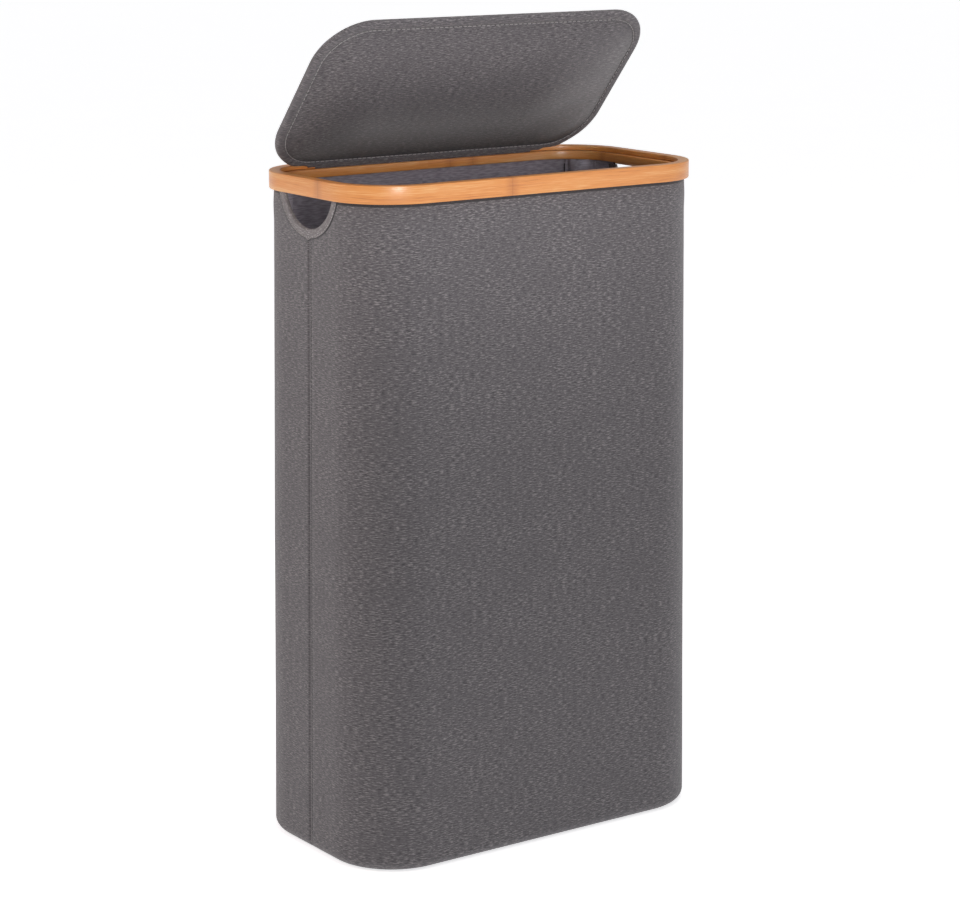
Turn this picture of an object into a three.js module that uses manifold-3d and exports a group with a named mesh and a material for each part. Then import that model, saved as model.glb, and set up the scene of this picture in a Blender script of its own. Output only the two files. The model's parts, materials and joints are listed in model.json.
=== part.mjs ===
// Slim fabric laundry hamper with a bamboo rim, corner poles and a hinged padded lid.
// Millimetres, +Z up, origin on the floor at the centre of the footprint.
// The front faces -Y, the lid is hinged along the back of the rim, and it is drawn standing ajar.
import * as THREE from 'three';
import { mergeVertices } from 'three/addons/utils/BufferGeometryUtils.js';
import Module from 'manifold-3d';

const wasm = await Module();
wasm.setup();

// Driving dimensions
const WIDTH = 408;            // outside of the rim, left to right
const DEPTH = 220;            // outside of the rim, front to back
const CORNER_RADIUS = 65;     // outside corner of the rim, seen from above
const HEIGHT = 660;           // floor to the top of the rim
const RIM_HEIGHT = 17;
const LIP_WIDTH = 11;         // flat top of the outer hoop
const LIP_HEIGHT = 4.9;       // the lid drops into the hoop by this much
const SKIRT_THICKNESS = 4.4;  // outer hoop below its lip
const RIM_THICKNESS = 16;     // both hoops with the fabric clamped between them
const WALL_INSET = 4.7;       // fabric at the rim, in from the outside of the hoop
const WALL_THICKNESS = 2.2;   // woven face, foam and lining laminated together
const WALL_FLARE = 8;         // the fabric stands this much wider at the floor, per side
const BASE_FILLET = 10;       // rounded lower edge of the fabric body
const BOARD_THICKNESS = 3;
const CLOTH = 0.9;            // a single layer of cloth, tape or binding
const GAP = 0.3;              // clearance between neighbouring solids
const HOLE_RADIUS = 44;       // hand hole: part of a circle cut off by the rim
const HOLE_CENTRE = 655;      // height of that circle's centre
const FACING_WIDTH = 8.5;     // binding round the hand hole
const POLE_RADIUS = 4.5;
const POLE_WALL = 1;
const CAP_RADIUS = 5.7;
const CAP_LENGTH = 14;
const CAP_FLOOR = 1.5;
const SLEEVE_ARCH = 12.5;     // outside radius of the sleeve's arch over its pole
const SLEEVE_CLOTH = 1.2;
const SLEEVE_SPREAD = 17.8;   // half angle of the sleeve seen from the corner's centre, degrees
const SLEEVE_TURN = 5.5;      // sleeves sit this far round from the diagonal, to the short walls
const LID_WIDTH = 384;
const LID_DEPTH = 194;
const LID_RADIUS = 52.5;
const LID_THICKNESS = 7;
const LID_MARGIN = 9;         // top cover turned under the edge of the lid
const LID_BOARD = 2.4;
const LID_FOAM = 1.9;
const HEM_THICKNESS = 2.2;    // flat hem along the lid's hinge edge, with no board or foam in it
const HEM_WIDTH = 5;
const HEM_SLOPE = 8;          // the lid thickens from the hem over this distance
const HEM_LENGTH = 288;       // the hem stops where the rim starts to curve
const HEM_STEP = 4.2;         // past its ends the lid's edge steps in, to swing clear of the lip
const LID_OPENING = 49;       // how far the lid stands open, degrees from closed
const FLAP_LENGTH = 260;
const FLAP_CLOTH = 0.6;
const FLAP_FOOT_REACH = 3.6;  // flap foot clamped under the lip, behind the lip's inner face
const FLAP_RISE = 2.2;        // flap's upright part above its foot
const FLAP_FOOT_SINK = 1;     // depth of the seat for that foot in the inner hoop
const FLAP_SEAT_PLAY = 1;     // the seat is this much longer than the flap at each end
const HINGE_SETBACK = 2.2;    // hinge line in front of the lip's inner face
const LID_SETBACK = 0.4;      // back edge of the closed lid in front of the hinge line
const LID_CORE_INSET = 3.4;   // board and foam, in from the edge of the lid
const INNER_HOOP_RISE = 3.2;  // inner hoop's lower edge above the outer one's
const BASE_HEM = 2;           // walls carry on this far under the base
const LINING_OVERHANG = 2;    // the lining reaches past the base board
const SEAM_TAPE_HALF = 7;
const SEAM_TAPE_BOTTOM = 14;  // also the lower end of the sleeves
const SEAM_TAPE_DROP = 11;    // tape's upper end below the hand hole
const SLEEVE_DROP = 3;        // sleeve's upper end below the rim
const SLEEVE_PLAY = 1.4;      // room for the closure tape behind the sleeve
const POLE_PLAY = 0.9;        // pole cap to the wall
const CAP_DROP = 0.8;         // upper cap below the rim, before the pole leans
const CLOSURE_SPREAD = 5.2;   // width of the closure tape seen from the corner's centre, degrees
const CLOSURE_PLAY = 0.25;    // closure tape behind the sleeve's edge

// Sizes that follow from them
const RIM_BOTTOM = HEIGHT - RIM_HEIGHT;
const LIP_BOTTOM = HEIGHT - LIP_HEIGHT;
const CORE_X = WIDTH / 2 - CORNER_RADIUS;    // centre of each rounded corner
const CORE_Y = DEPTH / 2 - CORNER_RADIUS;
const WALL_INNER = WALL_INSET + WALL_THICKNESS;
const INNER_HOOP_INSET = WALL_INNER + GAP;
const WALL_TOP = LIP_BOTTOM - GAP;
const LINING_BOTTOM = WALL_THICKNESS + GAP + BOARD_THICKNESS + GAP;
const LINING_TOP = LINING_BOTTOM + CLOTH;
const HINGE_Y = DEPTH / 2 - LIP_WIDTH - HINGE_SETBACK;
const HINGE_Z = LIP_BOTTOM + HEM_THICKNESS / 2;

// Facets
const ARC_STEPS = 4;          // eight to each rounded corner
const HOLE_STEPS = 40;
const TUBE_STEPS = 24;
const ARCH_STEPS = 32;
const RING_STEPS = 96;
const PAST = 20;              // cutting solids reach at least this far past what they cut

const bamboo = new THREE.MeshStandardMaterial({ color: 0xd99a62, roughness: 0.45, metalness: 0 });
const cloth = new THREE.MeshStandardMaterial({ color: 0x5c5a5c, roughness: 0.9, metalness: 0 });
const lining = new THREE.MeshStandardMaterial({ color: 0x4e4c50, roughness: 0.85, metalness: 0 });
const board = new THREE.MeshStandardMaterial({ color: 0x8a6f52, roughness: 0.8, metalness: 0 });
const foam = new THREE.MeshStandardMaterial({ color: 0xe9e6dc, roughness: 0.95, metalness: 0 });
const aluminium = new THREE.MeshStandardMaterial({ color: 0xc3c6c9, roughness: 0.35, metalness: 1 });
const plastic = new THREE.MeshStandardMaterial({ color: 0x2a2a2c, roughness: 0.6, metalness: 0 });

const hamper = new THREE.Group();

function addPiece(name, geometry, material, parent = hamper) {
  const mesh = new THREE.Mesh(geometry, material);
  mesh.name = name;
  parent.add(mesh);
  return mesh;
}

// Solids that are cut or joined
function solidOf(geometry) {
  const bare = geometry.clone();
  bare.deleteAttribute('normal');
  bare.deleteAttribute('uv');
  const merged = mergeVertices(bare, 1e-4);
  return new wasm.Manifold(new wasm.Mesh({
    numProp: 3,
    vertProperties: new Float32Array(merged.attributes.position.array),
    triVerts: new Uint32Array(merged.index.array),
  }));
}

function geometryOf(solid) {
  const mesh = solid.getMesh();
  const geometry = new THREE.BufferGeometry();
  geometry.setAttribute('position', new THREE.BufferAttribute(new Float32Array(mesh.vertProperties), 3));
  geometry.setIndex(new THREE.BufferAttribute(new Uint32Array(mesh.triVerts), 1));
  return geometry;
}

function boxSolid(low, high) {
  const size = [0, 1, 2].map((i) => high[i] - low[i]);
  const geometry = new THREE.BoxGeometry(...size);
  geometry.translate(...[0, 1, 2].map((i) => low[i] + size[i] / 2));
  return solidOf(geometry);
}

// Rounded rectangle, seen from above, inset from the given outside size
function roundedPlan(width, depth, radius, inset = 0) {
  const x = width / 2 - radius;
  const y = depth / 2 - radius;
  const r = radius - inset;
  const quarter = Math.PI / 2;
  const shape = new THREE.Shape();
  shape.moveTo(-x, -y - r);
  shape.absarc(x, -y, r, -quarter, 0);
  shape.absarc(x, y, r, 0, quarter);
  shape.absarc(-x, y, r, quarter, 2 * quarter);
  shape.absarc(-x, -y, r, 2 * quarter, 3 * quarter);
  return shape;
}

function bodyPlan(inset) {
  return roundedPlan(WIDTH, DEPTH, CORNER_RADIUS, inset);
}

function lidPlan(inset) {
  return roundedPlan(LID_WIDTH, LID_DEPTH, LID_RADIUS, inset);
}

function slab(shape, low, high) {
  const geometry = new THREE.ExtrudeGeometry(shape, {
    depth: high - low, bevelEnabled: false, curveSegments: ARC_STEPS,
  });
  geometry.translate(0, 0, low);
  return geometry;
}

function hoop(outerInset, innerInset, low, high) {
  return solidOf(slab(bodyPlan(outerInset), low, high))
    .subtract(solidOf(slab(bodyPlan(innerInset), low - PAST, high + PAST)));
}

// Closed block with rounded lower and upper edges
function pillow(shape, low, high, fillet, steps) {
  const geometry = new THREE.ExtrudeGeometry(shape, {
    depth: high - low - 2 * fillet,
    bevelEnabled: true,
    bevelThickness: fillet,
    bevelSize: fillet,
    bevelSegments: steps,
    curveSegments: ARC_STEPS,
  });
  geometry.translate(0, 0, low + fillet);
  return solidOf(geometry);
}

// The fabric body leans outwards towards the floor, evenly all round its plan
function flared(solid) {
  const geometry = geometryOf(solid);
  const position = geometry.attributes.position;
  for (let i = 0; i < position.count; i += 1) {
    const x = position.getX(i);
    const y = position.getY(i);
    const coreX = THREE.MathUtils.clamp(x, -CORE_X, CORE_X);
    const coreY = THREE.MathUtils.clamp(y, -CORE_Y, CORE_Y);
    const reach = Math.hypot(x - coreX, y - coreY);
    const shift = WALL_FLARE * (1 - position.getZ(i) / RIM_BOTTOM);
    const grow = reach > 0 ? 1 + shift / reach : 1;
    position.setX(i, coreX + (x - coreX) * grow);
    position.setY(i, coreY + (y - coreY) * grow);
  }
  return geometry;
}

// Upright disc through both short walls, up to the underside of the rim
function handHole(radius) {
  const drum = new THREE.CylinderGeometry(radius, radius, WIDTH + 2 * PAST, HOLE_STEPS);
  drum.rotateZ(Math.PI / 2);
  drum.translate(0, 0, HOLE_CENTRE);
  const below = boxSolid([-WIDTH, -DEPTH, 0], [WIDTH, DEPTH, RIM_BOTTOM - GAP]);
  return solidOf(drum).intersect(below);
}

// Bamboo rim: an outer hoop with a lip, and an inner hoop that carries the lid
const lip = hoop(0, LIP_WIDTH, LIP_BOTTOM, HEIGHT);
const skirt = hoop(0, SKIRT_THICKNESS, RIM_BOTTOM, LIP_BOTTOM + GAP);
addPiece('rim_outer_hoop', geometryOf(lip.add(skirt)), bamboo);

const flapFoot = WALL_TOP - FLAP_FOOT_SINK;
const flapFace = DEPTH / 2 - LIP_WIDTH - GAP;
const flapFront = flapFace - FLAP_CLOTH;
const flapSeat = boxSolid(
  [-FLAP_LENGTH / 2 - FLAP_SEAT_PLAY, flapFront - GAP, flapFoot - GAP],
  [FLAP_LENGTH / 2 + FLAP_SEAT_PLAY, DEPTH / 2, HEIGHT],
);
const innerHoop = hoop(INNER_HOOP_INSET, RIM_THICKNESS, RIM_BOTTOM + INNER_HOOP_RISE, WALL_TOP);
addPiece('rim_inner_hoop', geometryOf(innerHoop.subtract(flapSeat)), bamboo);

// Hinge flap: its foot is clamped under the lip, its upright edge is sewn to the lid's hem
const flapUpright = boxSolid(
  [-FLAP_LENGTH / 2, flapFront, flapFoot],
  [FLAP_LENGTH / 2, flapFace, flapFoot + FLAP_CLOTH + FLAP_RISE],
);
const flapFold = boxSolid(
  [-FLAP_LENGTH / 2, flapFront, flapFoot],
  [FLAP_LENGTH / 2, flapFace + FLAP_FOOT_REACH, flapFoot + FLAP_CLOTH],
);
addPiece('lid_hinge_flap', geometryOf(flapUpright.add(flapFold)), cloth);

// Fabric body: two wrapped wall panels meet at the middle of each short side
const tubOutside = pillow(bodyPlan(WALL_INSET + BASE_FILLET), 0, HEIGHT + 2 * PAST, BASE_FILLET, 3);
const tubInside = pillow(
  bodyPlan(WALL_INSET + BASE_FILLET),
  WALL_THICKNESS,
  HEIGHT + 4 * PAST,
  BASE_FILLET - WALL_THICKNESS,
  3,
);
const belowTop = boxSolid([-WIDTH, -DEPTH, -PAST], [WIDTH, DEPTH, WALL_TOP]);
const tub = tubOutside.subtract(tubInside).intersect(belowTop);
const baseInset = WALL_INSET + BASE_FILLET + BASE_HEM;
const basePlate = solidOf(slab(bodyPlan(baseInset), -PAST, BASE_FILLET));
const basePlateRoom = solidOf(slab(bodyPlan(baseInset - GAP), -PAST, BASE_FILLET));
const walls = tub.subtract(basePlateRoom).subtract(handHole(HOLE_RADIUS));
const seamHalfGap = GAP / 2;
const frontHalf = boxSolid([-WIDTH, -DEPTH, -PAST], [WIDTH, -seamHalfGap, HEIGHT]);
const backHalf = boxSolid([-WIDTH, seamHalfGap, -PAST], [WIDTH, DEPTH, HEIGHT]);
addPiece('front_wall_panel', flared(walls.intersect(frontHalf)), cloth);
addPiece('back_wall_panel', flared(walls.intersect(backHalf)), cloth);
addPiece('base_panel', flared(tub.intersect(basePlate)), cloth);

// Stiffening board on the base panel, with a cloth lining over it
const boardInset = WALL_INSET + BASE_FILLET + GAP;
const boardBottom = WALL_THICKNESS + GAP;
const boardPlate = slab(bodyPlan(boardInset), boardBottom, boardBottom + BOARD_THICKNESS);
addPiece('base_board', flared(solidOf(boardPlate)), board);
const liningPlate = slab(bodyPlan(boardInset - LINING_OVERHANG), LINING_BOTTOM, LINING_TOP);
addPiece('base_lining', flared(solidOf(liningPlate)), lining);

// Bindings round the hand holes, and tapes over the side seams inside
const bindingBand = hoop(WALL_INSET - GAP - CLOTH, WALL_INNER + GAP + CLOTH, 0, RIM_BOTTOM - GAP);
const wallRoom = hoop(WALL_INSET - GAP, WALL_INNER + GAP, 0, HEIGHT).subtract(handHole(HOLE_RADIUS - GAP));
const binding = bindingBand
  .intersect(handHole(HOLE_RADIUS + FACING_WIDTH))
  .subtract(handHole(HOLE_RADIUS - GAP - CLOTH))
  .subtract(wallRoom);
const tapeBand = hoop(
  WALL_INNER + GAP,
  WALL_INNER + GAP + CLOTH,
  SEAM_TAPE_BOTTOM,
  HOLE_CENTRE - HOLE_RADIUS - SEAM_TAPE_DROP,
);
for (const [side, sign] of [['left', -1], ['right', 1]]) {
  const low = Math.min(0, sign * WIDTH);
  const high = Math.max(0, sign * WIDTH);
  const sideHalf = boxSolid([low, -DEPTH, 0], [high, DEPTH, HEIGHT]);
  addPiece(`${side}_hand_hole_binding`, flared(binding.intersect(sideHalf)), cloth);
  const seamStrip = boxSolid([low, -SEAM_TAPE_HALF, 0], [high, SEAM_TAPE_HALF, HEIGHT]);
  addPiece(`${side}_seam_tape`, flared(tapeBand.intersect(seamStrip)), lining);
}

// Corner poles in their sleeves, leaning with the walls
const wallRadius = CORNER_RADIUS - WALL_INNER;
const archRadius = wallRadius - SLEEVE_PLAY;
const poleRadial = wallRadius - POLE_PLAY - CAP_RADIUS;
const lean = Math.atan2(WALL_FLARE, RIM_BOTTOM);
const sleeveLow = SEAM_TAPE_BOTTOM;
const sleeveHigh = RIM_BOTTOM - SLEEVE_DROP;
const capFoot = LINING_TOP + GAP;
const capHead = RIM_BOTTOM - CAP_DROP;

function disc(x, radius, low, high, steps) {
  const geometry = new THREE.CylinderGeometry(radius, radius, high - low, steps);
  geometry.rotateX(Math.PI / 2);
  geometry.translate(x, 0, (low + high) / 2);
  return solidOf(geometry);
}

// Upright wedge that opens along +X between two angles
function sector(fromDegrees, toDegrees, low, high) {
  const from = THREE.MathUtils.degToRad(fromDegrees);
  const to = THREE.MathUtils.degToRad(toDegrees);
  const reach = 2 * CORNER_RADIUS;
  const shape = new THREE.Shape();
  shape.moveTo(0, 0);
  shape.lineTo(reach * Math.cos(from), reach * Math.sin(from));
  shape.lineTo(reach * Math.cos(to), reach * Math.sin(to));
  shape.closePath();
  return solidOf(slab(shape, low, high));
}

function ringBand(outer, inner, low, high) {
  return disc(0, outer, low, high, RING_STEPS)
    .subtract(disc(0, inner, low - PAST, high + PAST, RING_STEPS));
}

function sleeveSolid() {
  const flange = ringBand(archRadius, archRadius - SLEEVE_CLOTH, sleeveLow, sleeveHigh)
    .intersect(sector(-SLEEVE_SPREAD, SLEEVE_SPREAD, sleeveLow, sleeveHigh));
  const arch = disc(archRadius, SLEEVE_ARCH, sleeveLow, sleeveHigh, ARCH_STEPS)
    .intersect(disc(0, archRadius, sleeveLow, sleeveHigh, RING_STEPS));
  const hollow = disc(
    archRadius,
    SLEEVE_ARCH - SLEEVE_CLOTH,
    sleeveLow - PAST,
    sleeveHigh + PAST,
    ARCH_STEPS,
  );
  return flange.add(arch).subtract(hollow);
}

function tapeSolid(sign) {
  const inner = archRadius + CLOSURE_PLAY;
  const from = sign * (SLEEVE_SPREAD - CLOSURE_SPREAD);
  const to = sign * SLEEVE_SPREAD;
  return ringBand(inner + CLOTH, inner, sleeveLow, sleeveHigh)
    .intersect(sector(Math.min(from, to), Math.max(from, to), sleeveLow, sleeveHigh));
}

// Open cup that fits over the end of a pole
function capGeometry() {
  const inside = POLE_RADIUS + GAP;
  const profile = [
    new THREE.Vector2(0, 0),
    new THREE.Vector2(CAP_RADIUS, 0),
    new THREE.Vector2(CAP_RADIUS, CAP_LENGTH),
    new THREE.Vector2(inside, CAP_LENGTH),
    new THREE.Vector2(inside, CAP_FLOOR),
    new THREE.Vector2(0, CAP_FLOOR),
  ];
  const geometry = new THREE.LatheGeometry(profile, TUBE_STEPS);
  geometry.rotateX(Math.PI / 2);
  return geometryOf(solidOf(geometry));
}

function poleGeometry() {
  const low = capFoot + CAP_FLOOR + GAP;
  const high = capHead - CAP_FLOOR - GAP;
  const profile = [
    new THREE.Vector2(POLE_RADIUS - POLE_WALL, low),
    new THREE.Vector2(POLE_RADIUS, low),
    new THREE.Vector2(POLE_RADIUS, high),
    new THREE.Vector2(POLE_RADIUS - POLE_WALL, high),
    new THREE.Vector2(POLE_RADIUS - POLE_WALL, low),
  ];
  const geometry = new THREE.LatheGeometry(profile, TUBE_STEPS);
  geometry.rotateX(Math.PI / 2);
  return geometryOf(solidOf(geometry));
}

const corners = [
  ['front_left', -1, -1],
  ['front_right', 1, -1],
  ['back_right', 1, 1],
  ['back_left', -1, 1],
];
for (const [corner, signX, signY] of corners) {
  const stand = new THREE.Group();
  stand.position.set(signX * CORE_X, signY * CORE_Y, 0);
  // the closing edge of each sleeve lies on the long wall
  const tapeSide = signX * signY;
  stand.rotation.z = Math.atan2(signY, signX) - tapeSide * THREE.MathUtils.degToRad(SLEEVE_TURN);
  hamper.add(stand);
  // the lean turns about the height of the rim's underside, where the poles meet the rim
  const leaning = new THREE.Group();
  leaning.position.z = RIM_BOTTOM;
  leaning.rotation.y = -lean;
  stand.add(leaning);
  const upright = new THREE.Group();
  upright.position.z = -RIM_BOTTOM;
  leaning.add(upright);
  const pole = addPiece(`${corner}_pole`, poleGeometry(), aluminium, upright);
  pole.position.x = poleRadial;
  const footCap = addPiece(`${corner}_pole_foot_cap`, capGeometry(), plastic, upright);
  footCap.position.set(poleRadial, 0, capFoot);
  const headCap = addPiece(`${corner}_pole_head_cap`, capGeometry(), plastic, upright);
  headCap.position.set(poleRadial, 0, capHead);
  headCap.rotation.x = Math.PI;
  addPiece(`${corner}_sleeve`, geometryOf(sleeveSolid()), lining, upright);
  addPiece(`${corner}_closure_tape`, geometryOf(tapeSolid(tapeSide)), plastic, upright);
}

// Padded lid, modelled lying closed with the hinge axis at its local origin
const lidFrame = new THREE.Group();
lidFrame.position.set(0, HINGE_Y, HINGE_Z);
lidFrame.rotation.x = -THREE.MathUtils.degToRad(LID_OPENING);
hamper.add(lidFrame);
const lidFlat = new THREE.Group();
lidFlat.position.set(0, -LID_SETBACK - LID_DEPTH / 2, LIP_BOTTOM - HINGE_Z);
lidFrame.add(lidFlat);

// not quite half the thickness, so that a narrow flat is left round the edge
const edgeRound = LID_THICKNESS / 2 - 0.1;
const lidBack = LID_DEPTH / 2;
const slopeStart = lidBack - HEM_WIDTH - HEM_SLOPE;

// What is cut away above the hem, with the cut lowered by a drop
function aboveHem(drop) {
  const shape = new THREE.Shape();
  shape.moveTo(slopeStart, LID_THICKNESS - drop);
  shape.lineTo(lidBack - HEM_WIDTH, HEM_THICKNESS - drop);
  shape.lineTo(lidBack + PAST, HEM_THICKNESS - drop);
  shape.lineTo(lidBack + PAST, LID_THICKNESS + PAST);
  shape.lineTo(slopeStart, LID_THICKNESS + PAST);
  shape.closePath();
  const geometry = slab(shape, -LID_WIDTH, LID_WIDTH);
  // the section's own axes become Y and Z, and it runs along X
  const turned = new THREE.Matrix4().makeBasis(
    new THREE.Vector3(0, 1, 0),
    new THREE.Vector3(0, 0, 1),
    new THREE.Vector3(1, 0, 0),
  );
  geometry.applyMatrix4(turned);
  return solidOf(geometry);
}

// What is cut away past both ends of the hem, with the cuts moved into the lid by a depth
function pastHem(depth) {
  const edge = lidBack - HEM_STEP - depth;
  const end = HEM_LENGTH / 2 - depth;
  const right = boxSolid([end, edge, -PAST], [LID_WIDTH, lidBack + PAST, LID_THICKNESS + PAST]);
  const left = boxSolid([-LID_WIDTH, edge, -PAST], [-end, lidBack + PAST, LID_THICKNESS + PAST]);
  return right.add(left);
}

const coverOutside = pillow(lidPlan(edgeRound), 0, LID_THICKNESS, edgeRound, 4)
  .subtract(aboveHem(0))
  .subtract(pastHem(0));
const coverInside = pillow(
  lidPlan(edgeRound),
  CLOTH,
  LID_THICKNESS - CLOTH,
  edgeRound - CLOTH,
  4,
).subtract(aboveHem(CLOTH)).subtract(pastHem(CLOTH));
const coverWindow = solidOf(slab(lidPlan(LID_MARGIN), -PAST, CLOTH + GAP));
const topCover = coverOutside.subtract(coverInside).subtract(coverWindow);
addPiece('lid_top_cover', geometryOf(topCover), cloth, lidFlat);
addPiece('lid_underside_panel', slab(lidPlan(LID_MARGIN + GAP), 0, CLOTH), cloth, lidFlat);

// Board and foam, cut straight in front of the hem's slope
function lidCore(low, high) {
  const front = boxSolid([-LID_WIDTH, -LID_DEPTH, low], [LID_WIDTH, slopeStart, high]);
  return geometryOf(solidOf(slab(lidPlan(LID_CORE_INSET), low, high)).intersect(front));
}

const lidBoardLow = CLOTH + GAP;
const lidFoamLow = lidBoardLow + LID_BOARD + GAP;
addPiece('lid_board', lidCore(lidBoardLow, lidBoardLow + LID_BOARD), board, lidFlat);
addPiece('lid_foam_pad', lidCore(lidFoamLow, lidFoamLow + LID_FOAM), foam, lidFlat);

export default hamper;
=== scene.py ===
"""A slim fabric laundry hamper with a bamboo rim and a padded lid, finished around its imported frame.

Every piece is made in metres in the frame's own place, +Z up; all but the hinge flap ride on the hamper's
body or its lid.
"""

import json
import math

import bmesh
import bpy
from mathutils import Matrix, Vector, noise


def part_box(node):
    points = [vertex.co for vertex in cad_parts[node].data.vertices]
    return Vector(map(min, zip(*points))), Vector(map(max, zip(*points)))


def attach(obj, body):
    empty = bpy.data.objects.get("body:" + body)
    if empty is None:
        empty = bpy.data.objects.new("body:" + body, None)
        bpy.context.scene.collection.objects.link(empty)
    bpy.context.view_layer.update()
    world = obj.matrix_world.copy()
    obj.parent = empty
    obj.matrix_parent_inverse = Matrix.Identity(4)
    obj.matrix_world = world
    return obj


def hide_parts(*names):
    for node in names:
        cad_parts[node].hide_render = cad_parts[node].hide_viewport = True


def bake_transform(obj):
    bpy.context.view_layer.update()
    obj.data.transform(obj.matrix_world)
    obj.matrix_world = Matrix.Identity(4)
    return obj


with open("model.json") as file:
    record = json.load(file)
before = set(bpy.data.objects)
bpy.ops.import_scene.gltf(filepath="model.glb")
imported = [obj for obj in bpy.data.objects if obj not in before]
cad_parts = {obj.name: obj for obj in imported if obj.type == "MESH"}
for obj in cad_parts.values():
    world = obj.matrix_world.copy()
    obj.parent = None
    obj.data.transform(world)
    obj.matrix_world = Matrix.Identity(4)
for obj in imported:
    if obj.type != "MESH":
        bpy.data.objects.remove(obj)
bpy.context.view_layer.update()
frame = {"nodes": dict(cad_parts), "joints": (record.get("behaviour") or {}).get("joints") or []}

bl_info = {
    "name": "Fabric Laundry Hamper",
    "version": (1, 0, 0),
    "blender": (4, 5, 0),
    "location": "3D View > Sidebar > Hamper",
    "description": "Builds the cloth, bamboo and stitching of a slim laundry hamper with a lid",
    "category": "Add Mesh",
}

MM = 0.001
QUARTER = math.pi / 2
BODY = "hamper_body"
LID = "lid"

RIM_LOW, RIM_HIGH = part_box("rim_outer_hoop")
INNER_LOW, INNER_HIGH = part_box("rim_inner_hoop")
SLEEVE_LOW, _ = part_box("front_left_sleeve")
TAPE_LOW, TAPE_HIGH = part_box("left_seam_tape")
_, BASE_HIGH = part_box("base_panel")
_, LINING_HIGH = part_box("base_lining")
FLAP_LOW, FLAP_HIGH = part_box("lid_hinge_flap")
HINGE = Vector(frame["joints"][0]["pos_m"])


# Settings ------------------------------------------------------------------------------------------


def length(name, millimetres, about):
    """A length that a user can change, in metres in the file and in millimetres here."""
    return bpy.props.FloatProperty(
        name=name, description=about, default=millimetres * MM, min=0.0, subtype="DISTANCE", unit="LENGTH"
    )


def angle(name, degrees, about):
    """An angle that a user can change, in radians in the file and in degrees here."""
    return bpy.props.FloatProperty(
        name=name, description=about, default=math.radians(degrees), subtype="ANGLE", unit="ROTATION"
    )


def tint(name, red, green, blue, about):
    """A colour given as the 0 to 255 numbers of a colour chip."""
    return bpy.props.FloatVectorProperty(
        name=name,
        description=about,
        default=tuple(linear(c) for c in (red, green, blue)),
        size=3,
        min=0.0,
        max=1.0,
        subtype="COLOR",
    )


def linear(chip):
    """The linear value of a 0 to 255 colour chip value."""
    share = chip / 255
    return share / 12.92 if share <= 0.04045 else ((share + 0.055) / 1.055) ** 2.4


class HamperSizes(bpy.types.PropertyGroup):
    """Lengths of the hamper that the frame's boxes don't give."""

    corner_radius: length("Corner radius", 65, "Outside corner of the rim, seen from above")
    lip_width: length("Lip width", 11, "Flat top of the outer hoop")
    lip_height: length("Lip height", 4.9, "Thickness of the outer hoop's lip")
    skirt: length("Skirt thickness", 4.4, "Outer hoop below its lip")
    rim_edge: length("Rim edge", 0.8, "Rounding of the bamboo's long edges")
    wall_inset: length("Wall inset", 4.7, "Cloth at the rim, in from the outside of the hoop")
    wall_thickness: length("Wall thickness", 2.2, "Woven face, foam and lining together")
    wall_flare: length("Wall flare", 8, "How much wider the cloth stands at the floor, each side")
    base_fillet: length("Base fillet", 10, "Rounded lower edge of the cloth body")
    cloth: length("Cloth", 0.9, "A single layer of cloth, tape or binding")
    hole_radius: length("Hand hole radius", 44, "Circle of the hand hole that the rim cuts off")
    hole_centre: length("Hand hole centre", 655, "Height of that circle's centre")
    binding_width: length("Binding width", 8.5, "Binding seen round the hand hole")
    sleeve_arch: length("Sleeve arch", 12.5, "Outside radius of a sleeve over its pole")
    sleeve_turn: angle("Sleeve turn", 5.5, "How far round from the diagonal a sleeve sits")
    sleeve_spread: angle("Sleeve spread", 17.8, "Half angle of a sleeve seen from the corner's centre")
    lid_width: length("Lid width", 384, "Lid from left to right")
    lid_depth: length("Lid depth", 194, "Lid from front to back")
    lid_radius: length("Lid corner", 52.5, "Corner of the lid, seen from above")
    lid_thickness: length("Lid thickness", 7, "Padded lid from face to face")
    lid_setback: length("Lid setback", 0.4, "Back edge of the closed lid in front of the hinge line")
    hem_thickness: length("Hem thickness", 2.2, "Flat hem along the lid's hinge edge")
    hem_width: length("Hem width", 5, "Width of that flat hem")
    hem_slope: length("Hem slope", 8, "Distance over which the lid thickens from the hem")
    hem_length: length("Hem length", 280, "Length of the hem before it steps in at its ends")
    hem_step: length("Hem step", 4.2, "How far the lid's edge steps in past the hem's ends")
    lid_margin: length("Lid margin", 9, "Top cover turned under the edge of the lid")
    stitch: length("Stitch", 3.4, "One stitch of the topstitching")
    lid_opening: angle("Lid opening", 49, "How far the lid stands open at rest")


class HamperColours(bpy.types.PropertyGroup):
    """Colours of the hamper's finishes."""

    cloth_dark: tint("Cloth, dark yarn", 53, 51, 54, "Shaded yarns of the melange cloth")
    cloth_mid: tint("Cloth, ground", 86, 83, 86, "Ground of the melange cloth")
    cloth_light: tint("Cloth, light yarn", 130, 126, 127, "Light flecks of the melange cloth")
    lining: tint("Lining", 158, 152, 162, "Plain cloth inside the body")
    binding: tint("Binding", 104, 100, 101, "Strip round the hand holes")
    thread: tint("Thread", 176, 172, 172, "Sewing thread")
    bamboo_light: tint("Bamboo, light", 213, 160, 101, "Pale fibres of the bamboo")
    bamboo_mid: tint("Bamboo, ground", 203, 132, 64, "Ground of the bamboo")
    bamboo_dark: tint("Bamboo, dark", 150, 81, 36, "Dark fibres and nodes of the bamboo")
    board: tint("Fibreboard", 150, 118, 84, "Stiffening boards")
    foam: tint("Foam", 226, 221, 205, "Open cell foam of the lid")
    aluminium: tint("Aluminium", 205, 207, 210, "Drawn tube of the poles")
    plastic: tint("Plastic", 38, 38, 40, "Moulded caps and hook tape")
    floor: tint("Floor", 246, 246, 247, "Studio floor")


# The plan of a rounded rectangle --------------------------------------------------------------------


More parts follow.
